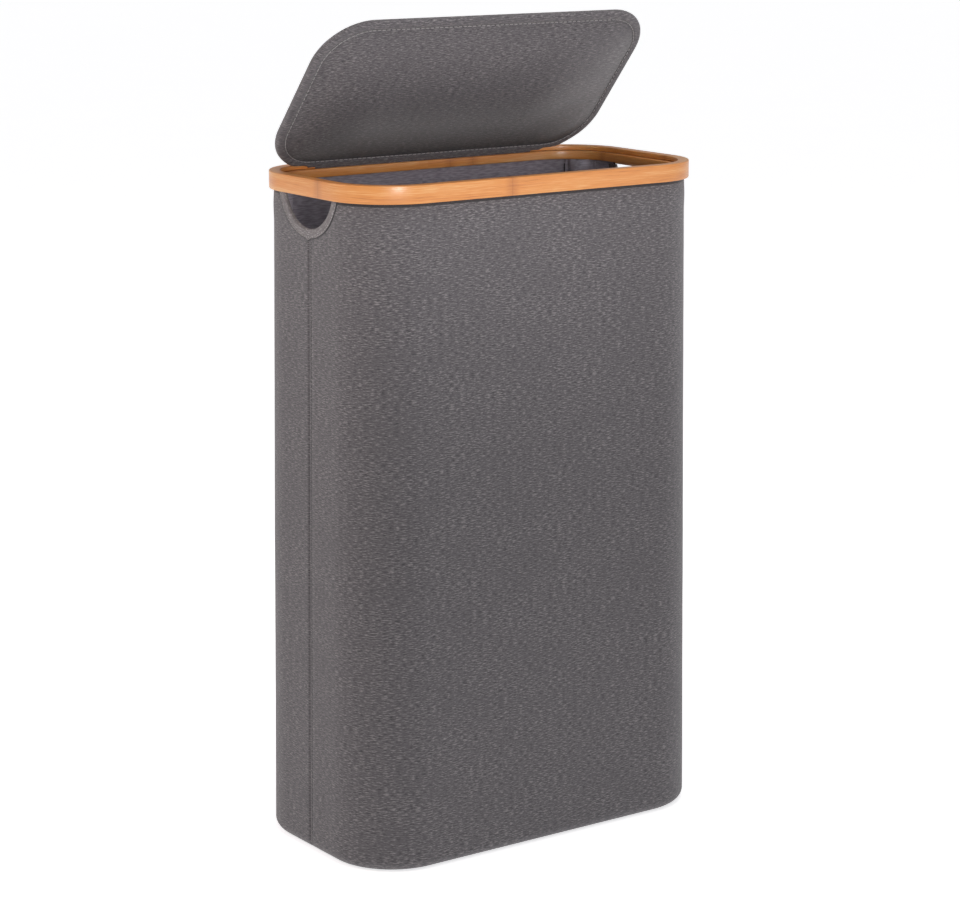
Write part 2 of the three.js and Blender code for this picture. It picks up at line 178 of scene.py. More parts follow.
class Plan:
    """A rounded rectangle seen from above: corner centres at core_x and core_y, and a nominal radius."""

    def __init__(self, width, depth, radius, centre=(0.0, 0.0)):
        self.core_x = width / 2 - radius
        self.core_y = depth / 2 - radius
        self.radius = radius
        self.centre = Vector((centre[0], centre[1], 0.0))
        self.half_girth = 2 * self.core_x + math.pi * radius + 2 * self.core_y

    def reach(self, co):
        """How far a point stands out from the rectangle of the corner centres."""
        return (co - self.nearest(co)).xy.length

    def nearest(self, co):
        """The nearest point of the rectangle of the corner centres, at the point's own height."""
        x = min(max(co.x - self.centre.x, -self.core_x), self.core_x)
        y = min(max(co.y - self.centre.y, -self.core_y), self.core_y)
        return Vector((x + self.centre.x, y + self.centre.y, co.z))

    def outward(self, co):
        """Level direction away from the middle, square to the outline."""
        return (co - self.nearest(co)).normalized()

    def along(self, co, side):
        """Distance round the outline from the middle of the front, right positive, on the given side."""
        x = co.x - self.centre.x
        y = co.y - self.centre.y
        over_x = side * x - self.core_x
        if over_x <= 1e-7:
            return x if y < 0 else side * (self.half_girth - side * x)
        if y <= -self.core_y:
            run = self.radius * math.atan2(over_x, -y - self.core_y)
        elif y < self.core_y:
            run = self.radius * QUARTER + y + self.core_y
        else:
            run = self.radius * (QUARTER + math.atan2(y - self.core_y, over_x)) + 2 * self.core_y
        return side * (self.core_x + run)

    def at(self, distance, reach):
        """The point at a distance round the outline, standing out by reach, and the way it runs there."""
        side = -1 if distance < 0 else 1
        left = abs(distance)
        corner = self.radius * QUARTER
        if left <= self.core_x:
            spot, way = Vector((left, -self.core_y - reach, 0)), Vector((1, 0, 0))
        elif left <= self.core_x + corner:
            angle = (left - self.core_x) / self.radius
            out = Vector((math.sin(angle), -math.cos(angle), 0))
            spot = Vector((self.core_x, -self.core_y, 0)) + reach * out
            way = Vector((math.cos(angle), math.sin(angle), 0))
        elif left <= self.core_x + corner + 2 * self.core_y:
            spot = Vector((self.core_x + reach, left - self.core_x - corner - self.core_y, 0))
            way = Vector((0, 1, 0))
        elif left <= self.core_x + 2 * corner + 2 * self.core_y:
            angle = (left - self.core_x - corner - 2 * self.core_y) / self.radius
            out = Vector((math.cos(angle), math.sin(angle), 0))
            spot = Vector((self.core_x, self.core_y, 0)) + reach * out
            way = Vector((-math.sin(angle), math.cos(angle), 0))
        else:
            spot, way = Vector((self.half_girth - left, self.core_y + reach, 0)), Vector((-1, 0, 0))
        spot.x *= side
        way.x *= side
        return spot + self.centre, way * side


def body_plan(sizes):
    """The plan of the rim, from its box in the frame."""
    return Plan(RIM_HIGH.x - RIM_LOW.x, RIM_HIGH.y - RIM_LOW.y, sizes.corner_radius)


def lid_plan(sizes):
    """The plan of the closed lid, with the hinge line at zero."""
    middle = -sizes.lid_setback - sizes.lid_depth / 2
    return Plan(sizes.lid_width, sizes.lid_depth, sizes.lid_radius, (0.0, middle))


def lid_place(sizes):
    """Turns a point of the closed lid, measured from its hinge, to where the lid stands at rest."""
    return Matrix.Translation(HINGE) @ Matrix.Rotation(-sizes.lid_opening, 4, "X")


# Mesh work ----------------------------------------------------------------------------------------


def draw_on(bm, ends, step, steps):
    """Draws open ends along a straight line, step by step, and returns the new ends."""
    made = bmesh.ops.spin(
        bm, geom=ends, cent=(0, 0, 0), axis=(0, 0, 1), dvec=step, angle=0, steps=steps,
        use_merge=False, use_duplicate=False,
    )
    return [e for e in made["geom_last"] if not isinstance(e, bmesh.types.BMFace)]


def turn_on(bm, ends, centre, angle, steps, axis=(0, 0, 1)):
    """Turns open ends round an axis and returns the new ends."""
    made = bmesh.ops.spin(
        bm, geom=ends, cent=centre, axis=axis, dvec=(0, 0, 0), angle=angle, steps=steps,
        use_merge=False, use_duplicate=False,
    )
    return [e for e in made["geom_last"] if not isinstance(e, bmesh.types.BMFace)]


def all_ends(bm):
    """Every vertex and edge of a section that is still a bare line."""
    return [*bm.verts, *bm.edges]


def closed_section(bm, plan, corners):
    """A section of (inset, height) corners at the middle of the back, closed on itself."""
    points = [
        bm.verts.new((0, plan.core_y + plan.radius - inset, height)) for inset, height in corners
    ]
    for first, second in zip(points, points[1:] + points[:1]):
        bm.edges.new((first, second))
    return all_ends(bm)


def sweep_round(bm, plan, ends, corner_steps, side_step):
    """Carries a section that starts at the middle of the back once round the plan, and joins it up."""
    x, y = plan.core_x, plan.core_y
    long_steps = max(1, round(x / side_step))
    short_steps = max(1, round(2 * y / side_step))
    ends = draw_on(bm, ends, (-x / long_steps, 0, 0), long_steps)
    ends = turn_on(bm, ends, (-x, y, 0), QUARTER, corner_steps)
    ends = draw_on(bm, ends, (0, -2 * y / short_steps, 0), short_steps)
    ends = turn_on(bm, ends, (-x, -y, 0), QUARTER, corner_steps)
    ends = draw_on(bm, ends, (x / long_steps, 0, 0), 2 * long_steps)
    ends = turn_on(bm, ends, (x, -y, 0), QUARTER, corner_steps)
    ends = draw_on(bm, ends, (0, 2 * y / short_steps, 0), short_steps)
    ends = turn_on(bm, ends, (x, y, 0), QUARTER, corner_steps)
    draw_on(bm, ends, (-x / long_steps, 0, 0), long_steps)
    bmesh.ops.remove_doubles(bm, verts=bm.verts, dist=0.01 * MM)


def face_out(bm, plan):
    """Recalculates the faces' sides, and turns an open sheet so that its front faces out."""
    bmesh.ops.recalc_face_normals(bm, faces=bm.faces)
    bm.normal_update()
    total = sum(f.normal.dot(plan.outward(f.calc_center_median())) * f.calc_area() for f in bm.faces)
    if total < 0:
        bmesh.ops.reverse_faces(bm, faces=bm.faces)


def face_along(bm, way):
    """Recalculates the faces' sides so that the face farthest along a direction looks that way."""
    bmesh.ops.recalc_face_normals(bm, faces=bm.faces)
    bm.normal_update()
    farthest = max(bm.faces, key=lambda f: f.calc_center_median().dot(way))
    if farthest.normal.dot(way) < 0:
        bmesh.ops.reverse_faces(bm, faces=bm.faces)


def map_cloth(bm, place):
    """Writes the cloth's own flat coordinates, in metres, with place(face, loop) giving them."""
    layer = bm.loops.layers.uv.get("UVMap") or bm.loops.layers.uv.new("UVMap")
    for face in bm.faces:
        for loop in face.loops:
            loop[layer].uv = place(face, loop)


def side_of(face):
    """Right is 1 and left is -1."""
    return 1 if face.calc_center_median().x >= 0 else -1


def soft_bevel(bm, chosen, offset):
    """Rounds the chosen edges."""
    bmesh.ops.bevel(
        bm, geom=[e for e in bm.edges if chosen(e)], offset=offset, segments=3, profile=0.5,
        affect="EDGES", material=-1, clamp_overlap=True,
    )


def piece_from(bm, name, finishes, smooth=True):
    """Makes the finished object of a mesh, with its finishes."""
    mesh = bpy.data.meshes.new(name)
    bm.to_mesh(mesh)
    bm.free()
    for finish in finishes:
        mesh.materials.append(finish)
    if smooth:
        mesh.polygons.foreach_set("use_smooth", [True] * len(mesh.polygons))
    piece = bpy.data.objects.new(name, mesh)
    bpy.context.scene.collection.objects.link(piece)
    return piece


def thicken(piece, thickness, offset=-1.0, inner=0):
    """Gives a sheet its thickness with a live modifier; inner is the finish of its back."""
    solidify = piece.modifiers.new("thickness", "SOLIDIFY")
    solidify.thickness = thickness
    solidify.offset = offset
    solidify.use_even_offset = True
    solidify.use_quality_normals = True
    solidify.material_offset = inner


def ripple(co, scale, seed):
    """Soft noise from -1 to 1 at a point."""
    return noise.noise(co / scale + Vector((seed, 2 * seed, 3 * seed)))


def fade(distance, over):
    """Nothing at zero, rising evenly to one over a distance."""
    return min(1.0, max(0.0, distance / over))


def bell(distance, width):
    """One at zero, falling smoothly to nothing past the width."""
    return math.exp(-((distance / width) ** 2))


def add_stitch(bm, spot, way, up, long, wide):
    """One stitch of thread, half sunk where it lies: long along way, and raised along up."""
    along = way.normalized()
    height = (up - up.dot(along) * along).normalized()
    across = height.cross(along)
    turned = Matrix((along, across, height)).transposed().to_4x4()
    shape = Matrix.Diagonal((long, wide, wide, 1.0))
    bmesh.ops.create_uvsphere(
        bm, u_segments=6, v_segments=4, radius=0.5,
        matrix=Matrix.Translation(spot) @ turned @ shape @ Matrix.Rotation(QUARTER, 4, "Y"),
    )


# Finishes -----------------------------------------------------------------------------------------

YARN_PITCH = 1.1 * MM
LINING_PITCH = 0.9 * MM
THREAD_TWIST = 0.5 * MM
# Painted shadow under the rim: the cloth is dark from this far below the rim's underside up to the rim's
# top.
PAINTED_RIM_SHADOW = 2.8 * MM
FLOOR_GLOW = 0.67


class Wire:
    """A value in a material that Python's operators work on; each adds a Math node."""

    def __init__(self, finish, socket):
        self.finish = finish
        self.socket = socket

    def maths(self, operation, *values):
        """A Math node on this value and others."""
        node = self.finish.node(
            "ShaderNodeMath", {"operation": operation}, dict(enumerate((self, *values)))
        )
        return Wire(self.finish, node.outputs[0])

    def __add__(self, other):
        return self.maths("ADD", other)

    def __sub__(self, other):
        return self.maths("SUBTRACT", other)

    def __mul__(self, other):
        return self.maths("MULTIPLY", other)

    def __rsub__(self, other):
        node = self.finish.node("ShaderNodeMath", {"operation": "SUBTRACT"}, {0: other, 1: self})
        return Wire(self.finish, node.outputs[0])

    def __neg__(self):
        return self * -1.0

    def __abs__(self):
        return self.maths("ABSOLUTE")

    __radd__ = __add__
    __rmul__ = __mul__


class Finish:
    """A material whose nodes are added one by one."""

    def __init__(self, name, roughness, **constants):
        self.material = bpy.data.materials.new(name)
        self.material.use_nodes = True
        self.tree = self.material.node_tree
        self.shader = self.tree.nodes["Principled BSDF"]
        self.shader.inputs["Roughness"].default_value = roughness
        for socket, value in constants.items():
            self.shader.inputs[socket.replace("_", " ")].default_value = value

    def put(self, socket, value):
        """Links a wire, or sets a number or colour."""
        if isinstance(value, Wire):
            self.tree.links.new(value.socket, socket)
        elif socket.type == "RGBA":
            socket.default_value = (*tuple(value)[:3], 1.0)
        else:
            socket.default_value = value

    def node(self, kind, settings, values):
        """Adds a node: its settings first, then its sockets by name or number."""
        made = self.tree.nodes.new(kind)
        for name, value in settings.items():
            setattr(made, name, value)
        for name, value in values.items():
            self.put(made.inputs[name], value)
        return made

    def wire(self, node, name=0):
        """An output of a node, by name or number."""
        return Wire(self, node.outputs[name])

    def uv(self):
        """The piece's own flat coordinates, in metres."""
        return self.wire(self.node("ShaderNodeUVMap", {"uv_map": "UVMap"}, {}))

    def place(self):
        """Where a point is on the object, in metres."""
        return self.wire(self.node("ShaderNodeTexCoord", {}, {}), "Object")

    def parts(self, vector):
        """A vector's three values."""
        node = self.node("ShaderNodeSeparateXYZ", {}, {0: vector})
        return [self.wire(node, k) for k in range(3)]

    def stretch(self, vector, factors):
        """A vector times a number for each axis."""
        node = self.node("ShaderNodeVectorMath", {"operation": "MULTIPLY"}, {0: vector, 1: factors})
        return self.wire(node)

    def speckle(self, vector, scale=1.0, detail=2.0, rough=0.5):
        """Smooth noise from about 0 to 1."""
        values = {"Vector": vector, "Scale": scale, "Detail": detail, "Roughness": rough}
        return self.wire(self.node("ShaderNodeTexNoise", {"noise_dimensions": "3D"}, values), "Fac")

    def ramp(self, value, low, high, to_low=0.0, to_high=1.0):
        """A value carried smoothly from one range to another, and held at its ends."""
        values = {"Value": value, 1: low, 2: high, 3: to_low, 4: to_high}
        settings = {"interpolation_type": "SMOOTHSTEP"}
        return self.wire(self.node("ShaderNodeMapRange", settings, values))

    def blend(self, share, first, second):
        """A colour between two colours."""
        node = self.node("ShaderNodeMix", {"data_type": "RGBA"}, {})
        self.put(node.inputs[0], share)
        self.put(node.inputs[6], first)
        self.put(node.inputs[7], second)
        return Wire(self, node.outputs[2])

    def colour(self, value):
        """Sets what feeds the surface's colour."""
        self.put(self.shader.inputs["Base Color"], value)

    def rough(self, value):
        """Sets what feeds the surface's roughness."""
        self.put(self.shader.inputs["Roughness"], value)

    def relief(self, height, depth):
        """Bumps the surface by a height that is given as a share of a depth in metres."""
        node = self.node("ShaderNodeBump", {}, {"Strength": 1.0, "Distance": depth, "Height": height})
        self.put(self.shader.inputs["Normal"], self.wire(node))


def shade(colour, factor):
    """A colour made darker or lighter by a factor."""
    return tuple(factor * c for c in colour)


def plain_weave(finish, cloth, pitch):
    """Over and under of a plain weave with its threads a pitch apart, from -1 to 1."""
    across, up, _ = finish.parts(cloth)
    weft = (across * (math.tau / pitch)).maths("SINE")
    warp = (up * (math.tau / pitch)).maths("SINE")
    return weft * warp


def melange(finish, dark, ground, light, contrast=1.0, edge=0.0):
    """Woven melange: short level flecks of darker and lighter yarn on a ground, with painted shade where
    edge is 1.
    """
    cloth = finish.uv()
    fleck = finish.speckle(finish.stretch(cloth, (1 / (6 * MM), 1 / (0.95 * MM), 1)), detail=1.5)
    yarn = finish.speckle(finish.stretch(cloth, (1 / (2.6 * MM), 1 / (0.62 * MM), 1)), detail=1.0)
    patch = finish.speckle(finish.stretch(cloth, (1 / (70 * MM), 1 / (34 * MM), 1)), detail=3.0)
    tone = (fleck - 0.5) * 0.95 + (yarn - 0.5) * 0.5
    strength = finish.ramp(patch, 0.3, 0.7, 0.8, 1.0) * contrast
    yarn_tone = tone * strength + (patch - 0.5) * 0.05
    lighter = finish.blend(finish.ramp(yarn_tone, 0.0, 0.22), ground, light)
    woven = finish.blend(finish.ramp(-yarn_tone, 0.0, 0.22), lighter, dark)
    # Painted shade: where edge is 1 the colour goes to a quarter of the dark yarn.
    finish.colour(finish.blend(edge, woven, shade(dark, 0.25)))
    finish.rough(finish.ramp(fleck, 0.3, 0.7, 0.78, 0.92))
    finish.relief(plain_weave(finish, cloth, YARN_PITCH) * 0.3 + fleck * 0.5 + yarn * 0.3, 0.16 * MM)


def cloth_finish(colours):
    """The outer cloth, with a painted shadow line where the walls go under the rim."""
    finish = Finish("melange_cloth", 0.85, Sheen_Weight=0.18, Sheen_Roughness=0.5)
    _, up, _ = finish.parts(finish.uv())
    # Painted shadow where the rim overhangs the cloth: pressed rises to full below the rim, hidden ends
    # it at the rim's top, and line carries the painted shade into the melange.
    below_rim = RIM_LOW.z - PAINTED_RIM_SHADOW
    pressed = finish.ramp(up, below_rim - 0.8 * MM, below_rim)
    hidden = finish.ramp(up, RIM_HIGH.z, RIM_HIGH.z + 1 * MM)
    line = (pressed - hidden) * 0.8
    melange(finish, colours.cloth_dark, colours.cloth_mid, colours.cloth_light, edge=line)
    return finish.material


def binding_finish(colours):
    """Binding strip and turned edges: the same yarn, a shade lighter and closer woven, with a painted
    shadow along the outer edge.
    """
    finish = Finish("binding_cloth", 0.85, Sheen_Weight=0.2, Sheen_Roughness=0.5)
    sizes = bpy.context.scene.hamper_sizes
    wide = sizes.hole_radius + sizes.binding_width
    _, from_centre, _ = finish.parts(finish.uv())
    # Painted shadow along the binding's outer edge, over its last millimetre.
    painted_edge_shadow = finish.ramp(from_centre, wide - 1.3 * MM, wide - 0.5 * MM)
    melange(finish, colours.cloth_mid, colours.binding, colours.thread, 0.7, painted_edge_shadow)
    return finish.material


def lining_finish(colours):
    """Plain woven lining with a faint rib."""
    finish = Finish("lining_cloth", 0.8, Sheen_Weight=0.12, Sheen_Roughness=0.4)
    cloth = finish.uv()
    weave = plain_weave(finish, cloth, LINING_PITCH)
    slub = finish.speckle(finish.stretch(cloth, (1 / (9 * MM), 1 / (1.4 * MM), 1)), detail=2.0)
    darker = shade(colours.lining, 0.72)
    lighter = shade(colours.lining, 1.25)
    finish.colour(finish.blend(finish.ramp(slub + weave * 0.05, 0.3, 0.72), darker, lighter))
    finish.relief(weave * 0.4 + slub * 0.6, 0.12 * MM)
    return finish.material


def twisted_thread(name, roughness, sheen, dark, light):
    """Sewing thread with its strands twisted round each other, with painted shade in the grooves between
    them.
    """
    finish = Finish(name, roughness, Sheen_Weight=sheen)
    x, y, z = finish.parts(finish.place())
    twist = ((x + y + z) * (math.tau / THREAD_TWIST)).maths("SINE")
    # Painted shade: darker in the grooves of the twist, lighter on the strands' crowns.
    finish.colour(finish.blend(finish.ramp(twist, -1.0, 1.0), dark, light))
    finish.relief(twist, 0.05 * MM)
    return finish.material


def thread_finish(colours):
    """Light thread of the bindings, the sleeves and the lid."""
    return twisted_thread("sewing_thread", 0.6, 0.2, shade(colours.thread, 0.6), colours.thread)


def seam_thread_finish(colours):
    """Dark thread, sunk and shadowed in the cloth."""
    dark = colours.cloth_dark
    return twisted_thread("seam_thread", 0.7, 0.0, shade(dark, 0.45), dark)


def bamboo_finish(colours, nodes):
    """Laminated bamboo: fine fibres along the hoop, slow bands of tone, and a node here and there."""
    finish = Finish("bamboo", 0.4, Coat_Weight=0.35, Coat_Roughness=0.22)
    strip = finish.uv()
    along, _, _ = finish.parts(strip)
    long_fibre = finish.stretch(strip, (1 / (55 * MM), 1 / (0.42 * MM), 1))
    fibre = finish.speckle(long_fibre, detail=3.0, rough=0.6)
    vein = finish.speckle(finish.stretch(strip, (1 / (16 * MM), 1 / (0.9 * MM), 1)), detail=2.0)
    band = finish.speckle(finish.stretch(strip, (1 / (150 * MM), 1 / (9 * MM), 1)), detail=2.0)
    waver = finish.speckle(finish.stretch(strip, (1 / (6 * MM), 1 / (2.5 * MM), 1)))
    wander = (waver - 0.5) * (3 * MM)
    knot, smudge = 0.0, 0.0
    for spot in nodes:
        away = abs(along - spot * MM + wander)
        knot = finish.ramp(away, 0.0, 1.1 * MM, 1.0, 0.0) + knot
        smudge = finish.ramp(away, 0.0, 11 * MM, 1.0, 0.0) + smudge
    tone = (fibre - 0.5) * 1.1 + (vein - 0.5) * 0.5 + (band - 0.5) * 0.9
    pale = finish.blend(finish.ramp(tone, -0.02, 0.28), colours.bamboo_mid, colours.bamboo_light)
    warm = finish.blend(finish.ramp(-tone, 0.03, 0.5), pale, colours.bamboo_dark)
    stained = finish.blend((smudge * 0.4).maths("MINIMUM", 0.6), warm, colours.bamboo_dark)
    deepest = shade(colours.bamboo_dark, 0.55)
    finish.colour(finish.blend((knot * 0.22).maths("MINIMUM", 0.8), stained, deepest))
    finish.rough(finish.ramp(fibre, 0.3, 0.7, 0.36, 0.5))
    finish.relief(fibre * 0.6 + knot * 0.5, 0.12 * MM)
    return finish.material


def board_finish(colours):
    """Hard fibreboard: matted short fibres."""
    finish = Finish("fibreboard", 0.75)
    spot = finish.place()
    mat = finish.speckle(spot, 700.0, 4.0, 0.7)
    cloud = finish.speckle(spot, 40.0, 2.0)
    darker = shade(colours.board, 0.6)
    finish.colour(finish.blend(finish.ramp(mat * 0.7 + cloud * 0.3, 0.3, 0.7), darker, colours.board))
    finish.relief(mat, 0.15 * MM)
    return finish.material


def foam_finish(colours):
    """Open cell foam: small pores with painted shade in them."""
    finish = Finish("foam", 0.95)
    cells = finish.node("ShaderNodeTexVoronoi", {}, {"Vector": finish.place(), "Scale": 900.0})
    pore = finish.ramp(finish.wire(cells, "Distance"), 0.1, 0.5)
    # Painted shade in the pores: darker at the middle of each cell.
    darker = shade(colours.foam, 0.55)
    finish.colour(finish.blend(pore, darker, colours.foam))
    finish.relief(pore, 0.3 * MM)
    return finish.material


def aluminium_finish(colours):
    """Drawn tube: fine lengthwise lines."""
    finish = Finish("drawn_aluminium", 0.35, Metallic=1.0)
    drawn = finish.speckle(finish.stretch(finish.place(), (2600, 2600, 12)), detail=2.0)
    darker = shade(colours.aluminium, 0.75)
    finish.colour(finish.blend(drawn, darker, colours.aluminium))
    finish.rough(finish.ramp(drawn, 0.3, 0.7, 0.25, 0.45))
    finish.relief(drawn, 0.03 * MM)
    return finish.material


def plastic_finish(colours):
    """Moulded plastic with a fine spark-eroded grain."""
    finish = Finish("moulded_plastic", 0.55)
    grain = finish.speckle(finish.place(), 1500.0, 2.0)
    lighter = shade(colours.plastic, 1.5)
    finish.colour(finish.blend(finish.ramp(grain, 0.3, 0.7), colours.plastic, lighter))
    finish.rough(finish.ramp(grain, 0.3, 0.7, 0.48, 0.66))
    finish.relief(grain, 0.05 * MM)
    return finish.material


def hook_tape_finish(colours):
    """Hook tape: rows of tiny hooks on a woven strip."""
    finish = Finish("hook_tape", 0.8)
    dots = finish.node(
        "ShaderNodeTexVoronoi", {}, {"Vector": finish.place(), "Scale": 750.0, "Randomness": 0.25}
    )
    hook = finish.ramp(finish.wire(dots, "Distance"), 0.15, 0.45, 1.0, 0.0)
    lighter = shade(colours.plastic, 2.2)
    finish.colour(finish.blend(hook, colours.plastic, lighter))
    finish.relief(hook, 0.4 * MM)
    return finish.material


def floor_finish(colours):
    """Pale matt studio floor with the faintest mottle."""
    finish = Finish("studio_floor", 0.9)
    mottle = finish.speckle(finish.place(), 3.0, 3.0)
    darker = shade(colours.floor, 0.97)
    finish.colour(finish.blend(mottle, darker, colours.floor))
    finish.put(finish.shader.inputs["Emission Color"], colours.floor)
    finish.shader.inputs["Emission Strength"].default_value = FLOOR_GLOW
    return finish.material


MAKERS = {
    "melange_cloth": cloth_finish,
    "binding_cloth": binding_finish,
    "lining_cloth": lining_finish,
    "sewing_thread": thread_finish,
    "seam_thread": seam_thread_finish,
    "fibreboard": board_finish,
    "foam": foam_finish,
    "drawn_aluminium": aluminium_finish,
    "moulded_plastic": plastic_finish,
    "hook_tape": hook_tape_finish,
    "studio_floor": floor_finish,
}


def finish_named(context, name):
    """The finish of that name, made when it is first asked for."""
    return bpy.data.materials.get(name) or MAKERS[name](context.scene.hamper_colours)


# Bamboo rim ---------------------------------------------------------------------------------------

OUTER_NODES = (-43, -262, 243, 468, -505)
INNER_NODES = (545, 517, -150, 120, -330, 340)
INNER_WIDTH = 8.8 * MM
INNER_EDGE = 0.9 * MM


def hoop_piece(name, plan, corners, edge, nodes, colours, keep_sharp=()):
    """One hoop of bent bamboo, its section given as (inset, height) corners."""
    bm = bmesh.new()
    sweep_round(bm, plan, closed_section(bm, plan, corners), 20, 12 * MM)
    sharp = {(round(inset / MM, 2), round(height / MM, 2)) for inset, height in keep_sharp}

    def corner_of(vert):
        return round((plan.radius - plan.reach(vert.co)) / MM, 2), round(vert.co.z / MM, 2)

    def long_edge(e):
        first, second = (corner_of(v) for v in e.verts)
        return first == second and first not in sharp

    soft_bevel(bm, long_edge, edge)
    bmesh.ops.recalc_face_normals(bm, faces=bm.faces)

    def strip_place(face, loop):
        inset = plan.radius - plan.reach(loop.vert.co)
        return plan.along(loop.vert.co, side_of(face)), RIM_HIGH.z - loop.vert.co.z - inset

    map_cloth(bm, strip_place)
    finish = bamboo_finish(colours, nodes)
    finish.name = name + "_bamboo"
    return piece_from(bm, name, [finish])


class HAMPER_OT_rim(bpy.types.Operator):
    """Build the two bent bamboo hoops of the rim"""

    bl_idname = "hamper.rim"
    bl_label = "Bamboo Rim"

    def execute(self, context):
        sizes, colours = context.scene.hamper_sizes, context.scene.hamper_colours
        plan = body_plan(sizes)
        top, bottom = RIM_HIGH.z, RIM_LOW.z
        under_lip = top - sizes.lip_height
        outer = hoop_piece(
            "bamboo_outer_hoop",
            plan,
            [
                (0, top), (0, bottom), (sizes.skirt, bottom),
                (sizes.skirt, under_lip), (sizes.lip_width, under_lip), (sizes.lip_width, top),
            ],
            sizes.rim_edge, OUTER_NODES, colours, [(sizes.skirt, under_lip)],
        )
        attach(outer, BODY)
        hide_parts("rim_outer_hoop")
        outside = RIM_HIGH.x - INNER_HIGH.x
        inside = outside + INNER_WIDTH
        inner = hoop_piece(
            "bamboo_inner_hoop",
            plan,
            [
                (outside, INNER_HIGH.z), (outside, INNER_LOW.z),
                (inside, INNER_LOW.z), (inside, INNER_HIGH.z),
            ],
            INNER_EDGE, INNER_NODES, colours,
        )
        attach(inner, BODY)
        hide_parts("rim_inner_hoop")
        return {"FINISHED"}


# Cloth body ---------------------------------------------------------------------------------------

SEAM_STEPS = ((1.5, 3), (2.1, 2), (2.4, 3))
SEAM_GAP = 0.1 * MM
TOPSTITCH = 4.8
FOOT_INSET = 16.4 * MM
WALL_ROW = 5 * MM
CORNER_STEPS = 22
FLAT_STEPS = 48
SEAM_ALLOWANCE = 10 * MM
CUT_EDGE = 1.6 * MM
FRONT_WAVES = 3
BACK_WAVES = 11


def flared(plan, sizes, co):
    """A point moved outwards with the walls, which stand wider towards the floor."""
    shift = sizes.wall_flare * (1 - co.z / RIM_LOW.z)
    return co + shift * plan.outward(co)


def wall_drop(sizes, reach, height, outside):
    """Height up the cloth, which goes on round the rounded lower edge and under the base."""
    fillet = sizes.base_fillet
    if height >= fillet:
        return height
    in_from_arc = outside - fillet - reach
    if in_from_arc > 0:
        return fillet - fillet * QUARTER - in_from_arc
    return fillet - fillet * math.atan2(fillet - height, -in_from_arc)


def wall_soften(plan, co, seed, front):
    """How far the cloth stands in or out: slow waves, the sunk side seam and its topstitched ridge."""
    out = plan.outward(co)
    free = fade(RIM_LOW.z - co.z, 60 * MM) * fade(co.z, 30 * MM)
    wave = 0.4 * ripple(Vector((co.x, co.y, co.z * 0.45)), 95 * MM, seed)
    wave += 0.1 * ripple(Vector((co.x, co.y, co.z * 0.8)), 28 * MM, seed + 5)
    tuck = 0.0
    if abs(co.x) > plan.core_x + 0.5 * plan.radius:
        away = abs(co.y) / MM
        tuck += 1.25 * bell(away, 1.3)
        if front:
            tuck += 0.35 * bell(away - TOPSTITCH, 0.9)
    below = (RIM_LOW.z - co.z) / MM
    pull = 0.55 * bell(below - 16, 11) if below > 0 else 0.0
    return co + (wave * free * MM - tuck * MM + pull * MM) * out


def half_wall(context, name, node, seed, turned):
    """One wall panel, from the middle of one short side round the long wall to the other."""
    sizes = context.scene.hamper_sizes
    plan = body_plan(sizes)
    outside = plan.radius - sizes.wall_inset
    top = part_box(node)[1].z
    fillet = sizes.base_fillet
    under = outside - (plan.radius - FOOT_INSET)
    bm = bmesh.new()
    first = bm.verts.new((-plan.core_x - outside, -SEAM_GAP, top))
    rows = round((top - fillet) / WALL_ROW)
    ends = draw_on(bm, [first], (0, 0, (fillet - top) / rows), rows)
    ends = turn_on(bm, ends, (-plan.core_x - outside + fillet, 0, fillet), -QUARTER, 7, (0, 1, 0))
    draw_on(bm, ends, (under - fillet, 0, 0), 1)
    ends = all_ends(bm)
    rest = plan.core_y - sum(run for run, _ in SEAM_STEPS) * MM - SEAM_GAP
    for run, steps in SEAM_STEPS:
        ends = draw_on(bm, ends, (0, -run * MM / steps, 0), steps)
    ends = draw_on(bm, ends, (0, -rest / 8, 0), 8)
    ends = turn_on(bm, ends, (-plan.core_x, -plan.core_y, 0), QUARTER, CORNER_STEPS)
    ends = draw_on(bm, ends, (2 * plan.core_x / FLAT_STEPS, 0, 0), FLAT_STEPS)
    ends = turn_on(bm, ends, (plan.core_x, -plan.core_y, 0), QUARTER, CORNER_STEPS)
    ends = draw_on(bm, ends, (0, rest / 8, 0), 8)
    for run, steps in reversed(SEAM_STEPS):
        ends = draw_on(bm, ends, (0, run * MM / steps, 0), steps)
    cut_hand_holes(bm, plan, sizes)
    face_out(bm, plan)
    if turned:
        bmesh.ops.rotate(bm, verts=bm.verts, cent=(0, 0, 0), matrix=Matrix.Rotation(math.pi, 3, "Z"))

    def panel_place(face, loop):
        co = loop.vert.co
        along = plan.along(co, side_of(face))
        return along, wall_drop(sizes, plan.reach(co), co.z, outside)

    map_cloth(bm, panel_place)
    for vert in bm.verts:
        soft = wall_soften(plan, vert.co, seed, not turned)
        vert.co = flared(plan, sizes, soft)
    cloth = finish_named(context, "melange_cloth")
    lining = finish_named(context, "lining_cloth")
    wall = piece_from(bm, name, [cloth, lining])
    thicken(wall, sizes.wall_thickness, inner=1)
    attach(wall, BODY)
    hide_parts(node)
    girth = plan.half_girth + 2 * SEAM_ALLOWANCE


